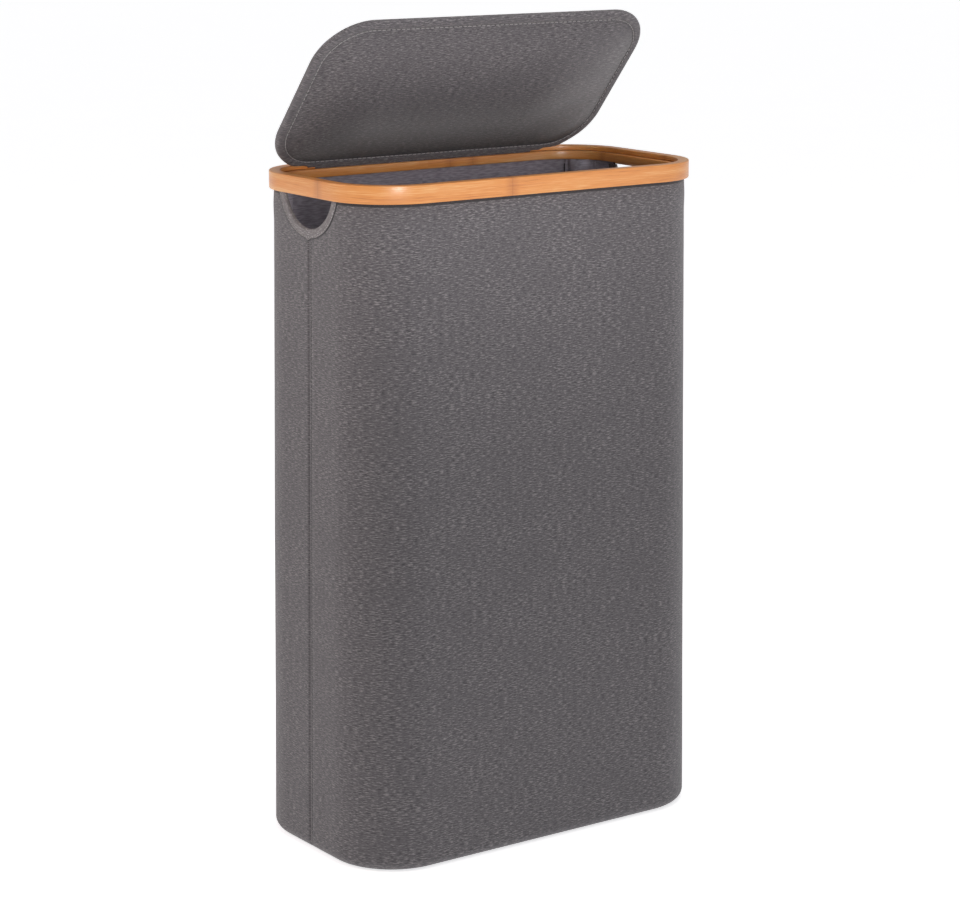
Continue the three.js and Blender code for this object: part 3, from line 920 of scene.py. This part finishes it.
def cut_hand_holes(bm, plan, sizes):
    """Opens the hand holes and draws their edges onto the circle, under the binding."""
    radius = sizes.hole_radius + CUT_EDGE

    def out_of_circle(co):
        return math.hypot(co.y, co.z - sizes.hole_centre)

    def on_short_side(co):
        return abs(co.x) > plan.core_x + 0.5 * plan.radius

    inside = [
        f for f in bm.faces
        if on_short_side(f.calc_center_median()) and out_of_circle(f.calc_center_median()) < radius
    ]
    bmesh.ops.delete(bm, geom=inside, context="FACES")
    rest = RIM_LOW.z + 1 * MM
    for edge in bm.edges:
        if not edge.is_boundary:
            continue
        for vert in edge.verts:
            near = abs(out_of_circle(vert.co) - radius) < 5 * MM
            if not on_short_side(vert.co) or vert.co.z > rest or not near or abs(vert.co.y) < 0.2 * MM:
                continue
            scale = radius / out_of_circle(vert.co)
            vert.co.y *= scale
            vert.co.z = sizes.hole_centre + (vert.co.z - sizes.hole_centre) * scale
            over = abs(vert.co.y) - plan.core_y
            if over > 0:
                outside = plan.radius - sizes.wall_inset
                sign = 1 if vert.co.x > 0 else -1
                vert.co.x = sign * (plan.core_x + math.sqrt(outside**2 - over**2))


class HAMPER_OT_walls(bpy.types.Operator):
    """Build the two wrapped wall panels of the cloth body"""

    bl_idname = "hamper.walls"
    bl_label = "Cloth Walls"

    def execute(self, context):
        half_wall(context, "front_cloth_wall", "front_wall_panel", FRONT_WAVES, False)
        half_wall(context, "back_cloth_wall", "back_wall_panel", BACK_WAVES, True)
        return {"FINISHED"}


def plate_piece(name, plan, inset, height, rings, shape, finishes):
    """A sheet of rounded outline with rings inside it, shaped by shape(distance in, point)."""
    bm = bmesh.new()
    reach = plan.radius - inset
    middle = bm.verts.new((plan.centre.x, plan.centre.y + plan.core_y + reach, height))
    flat_plan = Plan(2 * plan.core_x + 2 * reach, 2 * plan.core_y + 2 * reach, reach, plan.centre.xy)
    sweep_outline(bm, flat_plan, [middle], 18, 12 * MM)
    bmesh.ops.contextual_create(bm, geom=list(bm.edges))
    for ring in rings:
        inner = max(bm.faces, key=lambda f: f.calc_area())
        bmesh.ops.inset_region(bm, faces=[inner], thickness=ring, depth=0, use_even_offset=True)
    bmesh.ops.triangulate(bm, faces=[max(bm.faces, key=lambda f: f.calc_area())])
    for face in bm.faces:
        if face.normal.z < 0:
            face.normal_flip()
    map_cloth(bm, lambda face, loop: (loop.vert.co.x, loop.vert.co.y))
    for vert in bm.verts:
        vert.co = shape(reach - flat_plan.reach(vert.co), vert.co)
    return piece_from(bm, name, finishes)


def sweep_outline(bm, plan, ends, corner_steps, side_step):
    """Carries one vertex round a plan that isn't at the middle."""
    bmesh.ops.translate(bm, verts=bm.verts, vec=-plan.centre)
    sweep_round(bm, plan, ends, corner_steps, side_step)
    bmesh.ops.translate(bm, verts=bm.verts, vec=plan.centre)


class HAMPER_OT_base(bpy.types.Operator):
    """Build the base cloth and the lining that covers the base board"""

    bl_idname = "hamper.base"
    bl_label = "Base"

    def execute(self, context):
        sizes = context.scene.hamper_sizes
        plan = body_plan(sizes)
        base_inset = RIM_HIGH.x - BASE_HIGH.x

        def flat_base(inward, co):
            groove = 0.35 * MM * bell(inward / MM - 4, 0.8)
            return co + Vector((0, 0, groove))

        base = plate_piece(
            "base_cloth", plan, base_inset, 0.0, [3 * MM, 1 * MM, 1 * MM, 20 * MM], flat_base,
            [finish_named(context, "melange_cloth")],
        )
        base.data.flip_normals()
        thicken(base, sizes.wall_thickness)
        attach(base, BODY)
        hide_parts("base_panel")

        lining_inset = RIM_HIGH.x - LINING_HIGH.x

        def soft_lining(inward, co):
            puff = 0.9 * MM * fade(inward, 14 * MM) ** 0.5
            wave = 0.5 * MM * ripple(co, 60 * MM, 21) * fade(inward, 20 * MM)
            return co + Vector((0, 0, puff + wave))

        lining = plate_piece(
            "base_lining_cloth", plan, lining_inset, LINING_HIGH.z,
            [1 * MM, 2 * MM, 3 * MM, 5 * MM, 8 * MM, 10 * MM, 10 * MM], soft_lining,
            [finish_named(context, "lining_cloth")],
        )
        thicken(lining, sizes.cloth)
        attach(lining, BODY)
        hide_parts("base_lining")
        return {"FINISHED"}


# Hand holes ---------------------------------------------------------------------------------------

BINDING_CLOTH = 0.8 * MM
BINDING_STITCH = 2.3 * MM
BINDING_PITCH = 3.5 * MM
BINDING_REACH = math.radians(78)


def onto_wall(plan, sizes, co):
    """A point of a flat side piece carried onto the wall, which curves at its ends and flares."""
    over = abs(co.y) - plan.core_y
    side = 1 if co.x > 0 else -1
    reach = abs(co.x) - plan.core_x
    x = plan.core_x + (math.sqrt(max(reach**2 - over**2, 0.0)) if over > 0 else reach)
    return flared(plan, sizes, Vector((side * x, co.y, co.z)))


class HAMPER_OT_bindings(bpy.types.Operator):
    """Build the folded bindings round the two hand holes, with their stitching"""

    bl_idname = "hamper.bindings"
    bl_label = "Hand Hole Bindings"

    def execute(self, context):
        sizes = context.scene.hamper_sizes
        plan = body_plan(sizes)
        outside = plan.core_x + plan.radius - sizes.wall_inset
        leaf = 1.0 * MM
        wide = sizes.hole_radius + sizes.binding_width
        nose = sizes.wall_thickness / 2 + leaf
        mid_wall = outside - sizes.wall_thickness / 2
        edge = sizes.hole_radius - 1.2 * MM
        rim_under = RIM_LOW.z - 0.3 * MM
        for name, side in (("left", -1), ("right", 1)):
            bm = bmesh.new()
            start = bm.verts.new((side * (mid_wall + nose), 0, sizes.hole_centre - wide))
            ends = draw_on(bm, [start], (0, 0, (wide - edge - nose) / 6), 6)
            centre = (side * mid_wall, 0, sizes.hole_centre - edge - nose)
            ends = turn_on(bm, ends, centre, side * -math.pi, 8, (0, 1, 0))
            draw_on(bm, ends, (0, 0, -(wide - edge - nose) / 6), 6)
            axis_spot = (0, 0, sizes.hole_centre)
            bmesh.ops.rotate(
                bm, verts=bm.verts, cent=axis_spot, matrix=Matrix.Rotation(-BINDING_REACH, 3, "X")
            )
            turn_on(bm, all_ends(bm), axis_spot, 2 * BINDING_REACH, 72, (1, 0, 0))
            bmesh.ops.bisect_plane(
                bm, geom=[*bm.verts, *bm.edges, *bm.faces], plane_co=(0, 0, rim_under),
                plane_no=(0, 0, 1), clear_outer=True,
            )

            def strip_place(face, loop):
                co = loop.vert.co
                turn = math.atan2(co.y, sizes.hole_centre - co.z)
                return turn * wide, math.hypot(co.y, sizes.hole_centre - co.z)

            map_cloth(bm, strip_place)
            for vert in bm.verts:
                co = vert.co
                radius = math.hypot(co.y, co.z - sizes.hole_centre)
                outer_leaf = side * co.x > mid_wall
                edge_share = (radius - edge) / (wide - edge)
                point = max(0.0, 1 - abs(co.y) / (4.5 * MM)) * max(0.0, edge_share)
                co.z -= (2.4 * MM if outer_leaf else 0.0) * point
                pressed = 0.35 * MM * bell(edge_share - 0.78, 0.09)
                frayed = 0.12 * MM * ripple(co, 5 * MM, 31)
                co.x += (1 if co.x > side * mid_wall else -1) * (frayed - pressed)
                vert.co = onto_wall(plan, sizes, co)
            face_along(bm, Vector((side, 0, 0)))
            binding = piece_from(bm, f"{name}_binding_strip", [finish_named(context, "binding_cloth")])
            thicken(binding, BINDING_CLOTH)
            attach(binding, BODY)
            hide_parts(f"{name}_hand_hole_binding")
            self.stitching(context, plan, name, side, wide - 2.0 * MM, mid_wall + nose, rim_under)
        return {"FINISHED"}

    def stitching(self, context, plan, name, side, radius, x, highest):
        """A row of short stitches near the binding's outer edge."""
        sizes = context.scene.hamper_sizes
        bm = bmesh.new()
        half = math.acos((sizes.hole_centre - highest + 1 * MM) / radius)
        count = round(2 * half * radius / BINDING_PITCH)
        for k in range(count):
            angle = -half + (k + 0.5) * 2 * half / count
            height = sizes.hole_centre - radius * math.cos(angle)
            spot = onto_wall(plan, sizes, Vector((side * x, radius * math.sin(angle), height)))
            way = Vector((0, math.cos(angle), math.sin(angle)))
            add_stitch(bm, spot, way, Vector((side, 0, 0)), BINDING_STITCH, 0.55 * MM)
        row = piece_from(bm, f"{name}_binding_stitches", [finish_named(context, "sewing_thread")])
        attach(row, BODY)


# Seams --------------------------------------------------------------------------------------------

TAPE_WIDTH = 14 * MM
TAPE_CLOTH = 0.5 * MM
TAPE_ROWS = 90
SEAM_PITCH = 4.4 * MM


class HAMPER_OT_seams(bpy.types.Operator):
    """Build the side seams' inner tapes and their outer topstitching"""

    bl_idname = "hamper.seams"
    bl_label = "Side Seams"

    def execute(self, context):
        sizes = context.scene.hamper_sizes
        plan = body_plan(sizes)
        inner_face = plan.core_x + plan.radius - sizes.wall_inset - sizes.wall_thickness
        outer_face = plan.core_x + plan.radius - sizes.wall_inset
        for name, side in (("left", -1), ("right", 1)):
            bm = bmesh.new()
            corner = bm.verts.new((side * (inner_face - 1.3 * MM), -TAPE_WIDTH / 2, TAPE_LOW.z))
            draw_on(bm, [corner], (0, TAPE_WIDTH / 8, 0), 8)
            rise = (TAPE_HIGH.z - TAPE_LOW.z) / TAPE_ROWS
            draw_on(bm, all_ends(bm), (0, 0, rise), TAPE_ROWS)
            map_cloth(bm, lambda face, loop: (loop.vert.co.y, loop.vert.co.z))
            for vert in bm.verts:
                away = abs(vert.co.y) / MM
                lift = 0.25 * bell(away, 2.0) + 0.12 * ripple(vert.co, 9 * MM, 41)
                vert.co.x -= side * lift * MM
                vert.co = flared(plan, sizes, vert.co)
            face_along(bm, Vector((-side, 0, 0)))
            tape = piece_from(bm, f"{name}_seam_binding", [finish_named(context, "lining_cloth")])
            thicken(tape, TAPE_CLOTH, 1.0)
            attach(tape, BODY)
            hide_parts(f"{name}_seam_tape")
            self.topstitch(context, plan, name, side, outer_face)
        return {"FINISHED"}

    def topstitch(self, context, plan, name, side, face):
        """Stitches down the front edge of a side seam, from the binding to the base."""
        sizes = context.scene.hamper_sizes
        bm = bmesh.new()
        high = sizes.hole_centre - sizes.hole_radius - sizes.binding_width - 1.5 * MM
        low = sizes.base_fillet + 2 * MM
        for k in range(int((high - low) / SEAM_PITCH)):
            spot = Vector((side * (face + 0.02 * MM), -TOPSTITCH * MM, high - (k + 0.5) * SEAM_PITCH))
            spot = wall_soften(plan, spot, FRONT_WAVES, True)
            spot = flared(plan, sizes, spot)
            add_stitch(bm, spot, Vector((0, 0, 1)), Vector((side, 0, 0)), sizes.stitch, 0.62 * MM)
        row = piece_from(bm, f"{name}_seam_topstitch", [finish_named(context, "seam_thread")])
        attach(row, BODY)


# Corner sleeves -----------------------------------------------------------------------------------

CORNERS = (
    ("front_left", -1, -1), ("front_right", 1, -1), ("back_right", 1, 1), ("back_left", -1, 1),
)
SLEEVE_CLOTH = 0.9 * MM
SLEEVE_ROWS = 70
SLEEVE_PITCH = 4.6 * MM


class HAMPER_OT_sleeves(bpy.types.Operator):
    """Build the cloth sleeves over the corner poles, with their stitching"""

    bl_idname = "hamper.sleeves"
    bl_label = "Pole Sleeves"

    def execute(self, context):
        sizes = context.scene.hamper_sizes
        plan = body_plan(sizes)
        for name, sign_x, sign_y in CORNERS:
            self.sleeve(context, sizes, plan, name, sign_x, sign_y)
        return {"FINISHED"}

    def sleeve(self, context, sizes, plan, name, sign_x, sign_y):
        wall = plan.radius - sizes.wall_inset - sizes.wall_thickness
        flange = wall - 2 * MM
        arch = sizes.sleeve_arch - 0.6 * MM
        spread = sizes.sleeve_spread
        heading = math.atan2(sign_y, sign_x) - sign_x * sign_y * sizes.sleeve_turn
        foot = math.asin(arch / flange)
        low, high = SLEEVE_LOW.z, INNER_LOW.z - 0.4 * MM
        bm = bmesh.new()
        start = bm.verts.new((flange * math.cos(spread), -flange * math.sin(spread), low))
        ends = turn_on(bm, [start], (0, 0, low), spread - foot, 3)
        centre = (flange * math.cos(foot), 0, low)
        ends = turn_on(bm, ends, centre, -math.pi, 18)
        turn_on(bm, ends, (0, 0, low), spread - foot, 3)
        for _ in range(2):
            bmesh.ops.smooth_vert(
                bm, verts=bm.verts, factor=0.35, use_axis_x=True, use_axis_y=True, use_axis_z=False
            )
        draw_on(bm, all_ends(bm), (0, 0, (high - low) / SLEEVE_ROWS), SLEEVE_ROWS)

        def sleeve_place(face, loop):
            co = loop.vert.co
            return math.atan2(co.y, co.x - 0.7 * flange) * arch, co.z

        map_cloth(bm, sleeve_place)
        lean = math.atan2(sizes.wall_flare, RIM_LOW.z)
        for vert in bm.verts:
            co = vert.co
            inward = max(0.0, flange - co.xy.length) / arch
            end = bell((co.z - low) / MM, 12) + bell((high - co.z) / MM, 12)
            soft = (0.9 * ripple(co, 34 * MM, 51 + sign_x) + 0.35 * ripple(co, 12 * MM, 57)) * MM
            co.x += inward * (soft + 1.2 * MM * end)
            co.y += inward * 0.6 * soft
        face_along(bm, Vector((-1, 0, 0)))
        hinge = Matrix.Translation((0, 0, RIM_LOW.z))
        place = (
            Matrix.Translation((sign_x * plan.core_x, sign_y * plan.core_y, 0))
            @ Matrix.Rotation(heading, 4, "Z")
            @ hinge
            @ Matrix.Rotation(-lean, 4, "Y")
            @ hinge.inverted()
        )
        bmesh.ops.transform(bm, matrix=place, verts=bm.verts)
        sleeve = piece_from(bm, f"{name}_pole_sleeve", [finish_named(context, "lining_cloth")])
        thicken(sleeve, SLEEVE_CLOTH, 0.0)
        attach(sleeve, BODY)
        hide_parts(f"{name}_sleeve")
        across = math.pi * arch + 2 * (spread - foot) * flange

        stitches = bmesh.new()
        for edge in (-1, 1):
            angle = edge * (spread - math.radians(1.6))
            out = Vector((math.cos(angle), math.sin(angle), 0))
            for k in range(int((high - low - 8 * MM) / SLEEVE_PITCH)):
                height = low + 4 * MM + (k + 0.5) * SLEEVE_PITCH
                spot = (flange - 0.55 * MM) * out + Vector((0, 0, height))
                add_stitch(stitches, spot, Vector((0, 0, 1)), -out, sizes.stitch, 0.5 * MM)
        bmesh.ops.transform(stitches, matrix=place, verts=stitches.verts)
        row = piece_from(stitches, f"{name}_sleeve_stitches", [finish_named(context, "sewing_thread")])
        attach(row, BODY)


# Lid ----------------------------------------------------------------------------------------------

COVER_RINGS = (2, 3, 4, 6, 8, 10, 12)
LID_STITCH = 4.6 * MM
LID_PITCH = 5.4 * MM
FLAP_CLOTH = 0.6 * MM
FLAP_FOLD = 0.8 * MM
FLAP_COLUMNS = 52


def hem_share(sizes, co):
    """How much of the lid's thickness is left at a point, which thins to a flat hem along the hinge."""
    from_hem = -sizes.lid_setback - sizes.hem_width - co.y
    share = fade(from_hem, sizes.hem_slope)
    return share + (1 - share) * sizes.hem_thickness / sizes.lid_thickness


class HAMPER_OT_lid(bpy.types.Operator):
    """Build the padded lid: its cover, its underside panel and the stitching between them"""

    bl_idname = "hamper.lid"
    bl_label = "Padded Lid"

    def execute(self, context):
        sizes = context.scene.hamper_sizes
        plan = lid_plan(sizes)
        low = RIM_HIGH.z - sizes.lip_height - HINGE.z
        self.cover(context, sizes, plan, low)
        self.underside(context, sizes, plan, low)
        self.stitching(context, sizes, plan, low)
        return {"FINISHED"}

    def cover(self, context, sizes, plan, low):
        """Cover over board and foam, rounded at its edge and turned under by the margin."""
        thick = sizes.lid_thickness
        round_edge = thick / 2
        core = plan.radius - round_edge
        bm = bmesh.new()
        lip = bm.verts.new((0, plan.core_y + plan.radius - sizes.lid_margin, low))
        ends = draw_on(bm, [lip], (0, (sizes.lid_margin - round_edge) / 3, 0), 3)
        axis_spot = (0, plan.core_y + core, low + round_edge)
        ends = turn_on(bm, ends, axis_spot, math.pi, 10, (1, 0, 0))
        for run in COVER_RINGS:
            ends = draw_on(bm, ends, (0, -run * MM, 0), 1)
        centred = Plan(sizes.lid_width, sizes.lid_depth, sizes.lid_radius)
        sweep_round(bm, centred, all_ends(bm), 18, 10 * MM)
        top = low + thick
        open_edge = [
            e for e in bm.edges if e.is_boundary and all(v.co.z > top - 0.1 * MM for v in e.verts)
        ]
        middle = bmesh.ops.contextual_create(bm, geom=open_edge)["faces"]
        bmesh.ops.inset_region(bm, faces=middle, thickness=2 * MM, depth=0, use_even_offset=True)
        bmesh.ops.triangulate(bm, faces=middle)
        bmesh.ops.translate(bm, verts=bm.verts, vec=plan.centre)
        face_along(bm, Vector((0, 0, 1)))

        def cover_place(face, loop):
            co = loop.vert.co
            under = 1 if co.z >= low + thick / 2 else -1
            return co.x, co.y * under

        map_cloth(bm, cover_place)
        for vert in bm.verts:
            inward = plan.radius - plan.reach(vert.co)
            if vert.co.z > low + thick / 2:
                crown = 1.0 * MM * fade(inward - 3 * MM, 26 * MM) ** 0.7
                wave = 0.35 * MM * ripple(vert.co, 45 * MM, 61)
                vert.co.z += (crown + wave) * fade(inward, 10 * MM)
            else:
                sunk = 0.5 * MM * bell((sizes.lid_margin - inward) / MM, 1.2)
                vert.co.z += sunk + 0.12 * MM * ripple(vert.co, 16 * MM, 63)
            vert.co.z = low + (vert.co.z - low) * hem_share(sizes, vert.co)
            past_hem = fade(abs(vert.co.x) - sizes.hem_length / 2, 4 * MM)
            vert.co.y = min(vert.co.y, -sizes.lid_setback - sizes.hem_step * past_hem)
        bmesh.ops.transform(bm, matrix=lid_place(sizes), verts=bm.verts)
        cover = piece_from(bm, "lid_cover_cloth", [finish_named(context, "melange_cloth")])
        thicken(cover, sizes.cloth * 0.9)
        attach(cover, LID)
        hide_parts("lid_top_cover")

    def underside(self, context, sizes, plan, low):
        """Flat panel sewn into the turned-under margin."""
        inset = sizes.lid_margin + 0.25 * MM

        def soft_panel(inward, co):
            roll = 0.55 * MM * bell(inward / MM, 1.0)
            soft = 0.25 * MM * ripple(co, 38 * MM, 71) * fade(inward, 8 * MM)
            puff = 0.25 * MM * fade(inward, 25 * MM)
            return co + Vector((0, 0, roll - puff + soft))

        panel = plate_piece(
            "lid_underside_cloth", plan, inset, low,
            [0.6 * MM, 0.8 * MM, 1.2 * MM, 2 * MM, 4 * MM, 6 * MM, 8 * MM, 8 * MM],
            soft_panel, [finish_named(context, "melange_cloth")],
        )
        panel.data.flip_normals()
        panel.data.transform(lid_place(sizes))
        thicken(panel, sizes.cloth)
        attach(panel, LID)
        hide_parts("lid_underside_panel")

    def stitching(self, context, sizes, plan, low):
        """Light stitches sunk in the groove between margin and panel."""
        bm = bmesh.new()
        inset = sizes.lid_margin + 0.1 * MM
        count = round(2 * plan.half_girth / LID_PITCH)
        for k in range(count):
            distance = -plan.half_girth + (k + 0.5) * 2 * plan.half_girth / count
            spot, way = plan.at(distance, plan.radius - inset)
            spot.z = low - 0.1 * MM
            if spot.y > -sizes.lid_setback - sizes.hem_width - sizes.hem_slope:
                spot.z = low + (spot.z - low) * hem_share(sizes, spot)
            add_stitch(bm, spot, way, Vector((0, 0, -1)), LID_STITCH, 0.9 * MM)
        bmesh.ops.transform(bm, matrix=lid_place(sizes), verts=bm.verts)
        row = piece_from(bm, "lid_edge_stitches", [finish_named(context, "sewing_thread")])
        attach(row, LID)


class HAMPER_OT_flap(bpy.types.Operator):
    """Build the cloth flap that hinges the lid to the rim"""

    bl_idname = "hamper.flap"
    bl_label = "Hinge Flap"

    def execute(self, context):
        half = (FLAP_HIGH.x - FLAP_LOW.x) / 2
        low, high = FLAP_LOW.z + FLAP_CLOTH / 2, HINGE.z
        upright = FLAP_LOW.y + FLAP_CLOTH / 2
        fold = FLAP_FOLD
        bm = bmesh.new()
        foot = bm.verts.new((-half, FLAP_HIGH.y, low))
        ends = draw_on(bm, [foot], (0, (upright + fold - foot.co.y) / 3, 0), 3)
        ends = turn_on(bm, ends, (0, upright + fold, low + fold), -QUARTER, 4, (1, 0, 0))
        ends = draw_on(bm, ends, (0, 0, (high - low - 2 * fold) / 2), 2)
        ends = turn_on(bm, ends, (0, upright - fold, high - fold), QUARTER, 5, (1, 0, 0))
        draw_on(bm, ends, (0, (HINGE.y - upright + fold) / 2, 0), 2)
        draw_on(bm, all_ends(bm), (2 * half / FLAP_COLUMNS, 0, 0), FLAP_COLUMNS)
        map_cloth(bm, lambda face, loop: (loop.vert.co.x, loop.vert.co.z + loop.vert.co.y))
        for vert in bm.verts:
            free = fade(vert.co.z - low, fold)
            vert.co.z += 0.12 * MM * free * ripple(vert.co, 12 * MM, 81)
        bmesh.ops.recalc_face_normals(bm, faces=bm.faces)
        flap = piece_from(bm, "hinge_flap_cloth", [finish_named(context, "melange_cloth")])
        thicken(flap, FLAP_CLOTH, 0.0)
        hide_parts("lid_hinge_flap")
        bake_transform(flap)
        return {"FINISHED"}


# Poles, caps, boards and foam ---------------------------------------------------------------------

KEPT = (
    ("drawn_aluminium", "{}_pole"),
    ("moulded_plastic", "{}_pole_foot_cap"),
    ("moulded_plastic", "{}_pole_head_cap"),
    ("hook_tape", "{}_closure_tape"),
)


class HAMPER_OT_core(bpy.types.Operator):
    """Give the poles, caps, tapes, boards and foam of the frame their finishes"""

    bl_idname = "hamper.core"
    bl_label = "Poles, Caps and Boards"

    def execute(self, context):
        chosen = {"base_board": "fibreboard", "lid_board": "fibreboard", "lid_foam_pad": "foam"}
        for finish, pattern in KEPT:
            for name, _, _ in CORNERS:
                chosen[pattern.format(name)] = finish
        for node, finish in chosen.items():
            slots = frame["nodes"][node].data.materials
            slots.clear()
            slots.append(finish_named(context, finish))
        return {"FINISHED"}


# Stage --------------------------------------------------------------------------------------------

CAMERA_SPOT = (-1.5703, -2.2134, 0.9664)
CAMERA_HEADING = 35.31
CAMERA_PITCH = 12.35
CAMERA_LENS = 104.6
LID_BOX_SPREAD = math.radians(28)
WORLD_LIGHT = 0.41


def soft_box(name, spot, aim, width, height, power, colour):
    """A rectangular studio light at a spot, aimed at a point; the power is in watts."""
    light = bpy.data.lights.new(name, "AREA")
    light.shape = "RECTANGLE"
    light.size, light.size_y = width, height
    light.energy = power
    light.color = colour
    box = bpy.data.objects.new(name, light)
    box.location = spot
    box.rotation_euler = (Vector(aim) - Vector(spot)).to_track_quat("-Z", "Y").to_euler()
    bpy.context.scene.collection.objects.link(box)
    return box


class HAMPER_OT_stage(bpy.types.Operator):
    """Set up the floor, the soft studio light and the camera"""

    bl_idname = "hamper.stage"
    bl_label = "Stage"

    def execute(self, context):
        scene = context.scene
        bm = bmesh.new()
        bmesh.ops.create_grid(bm, x_segments=8, y_segments=8, size=40.0)
        floor = piece_from(bm, "floor", [finish_named(context, "studio_floor")], smooth=False)
        world = bpy.data.worlds.new("studio")
        scene.world = world
        world.use_nodes = True
        sky = world.node_tree.nodes["Background"]
        sky.inputs["Color"].default_value = (1.0, 1.0, 1.0, 1.0)
        sky.inputs["Strength"].default_value = WORLD_LIGHT
        soft_box("left_box", (-2.2, 0.5, 1.7), (0, 0, 0.45), 1.2, 1.2, 8.8, (1.0, 0.74, 0.58))
        soft_box("back_left_box", (-1.3, 0.9, 1.3), (-0.15, 0, 0.45), 0.7, 0.7, 3.7, (1.0, 0.9, 0.97))
        soft_box("right_box", (1.6, -2.3, 1.1), (0, 0, 0.4), 1.4, 1.8, 5.8, (1.0, 0.93, 1.0))
        soft_box("top_box", (0.1, -0.4, 2.5), (0, 0, 0.6), 1.2, 0.8, 12, (1.0, 0.97, 0.96))
        lid_box = soft_box(
            "lid_box", (-0.45, -1.3, 0.78), (0, 0.07, 0.73), 0.6, 0.3, 0.42, (1.0, 0.95, 0.95)
        )
        lid_box.data.spread = LID_BOX_SPREAD
        camera = bpy.data.cameras.new("camera")
        camera.lens = CAMERA_LENS
        camera.clip_start, camera.clip_end = 0.05, 100
        eye = bpy.data.objects.new("camera", camera)
        eye.location = CAMERA_SPOT
        eye.rotation_euler = (
            math.radians(90 - CAMERA_PITCH), 0, math.radians(-CAMERA_HEADING)
        )
        scene.collection.objects.link(eye)
        scene.camera = eye
        scene.view_settings.view_transform = "Standard"
        return {"FINISHED"}


OPERATORS = (
    HAMPER_OT_rim,
    HAMPER_OT_walls,
    HAMPER_OT_base,
    HAMPER_OT_bindings,
    HAMPER_OT_seams,
    HAMPER_OT_sleeves,
    HAMPER_OT_lid,
    HAMPER_OT_flap,
    HAMPER_OT_core,
    HAMPER_OT_stage,
)


class HAMPER_PT_panel(bpy.types.Panel):
    """Lists what the hamper is built from"""

    bl_idname = "HAMPER_PT_panel"
    bl_label = "Laundry Hamper"
    bl_space_type = "VIEW_3D"
    bl_region_type = "UI"
    bl_category = "Hamper"

    def draw(self, context):
        for operator in OPERATORS:
            self.layout.operator(operator.bl_idname)
        for group in (context.scene.hamper_sizes, context.scene.hamper_colours):
            box = self.layout.box()
            for name in group.__annotations__:
                box.prop(group, name)


CLASSES = (HamperSizes, HamperColours, *OPERATORS, HAMPER_PT_panel)


def register():
    for kind in CLASSES:
        bpy.utils.register_class(kind)
    bpy.types.Scene.hamper_sizes = bpy.props.PointerProperty(type=HamperSizes)
    bpy.types.Scene.hamper_colours = bpy.props.PointerProperty(type=HamperColours)


def unregister():
    del bpy.types.Scene.hamper_colours
    del bpy.types.Scene.hamper_sizes
    for kind in reversed(CLASSES):
        bpy.utils.unregister_class(kind)


def main():
    """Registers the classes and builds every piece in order."""
    register()
    for operator in OPERATORS:
        group, name = operator.bl_idname.split(".")
        getattr(getattr(bpy.ops, group), name)()


if __name__ == "__main__":
    main()
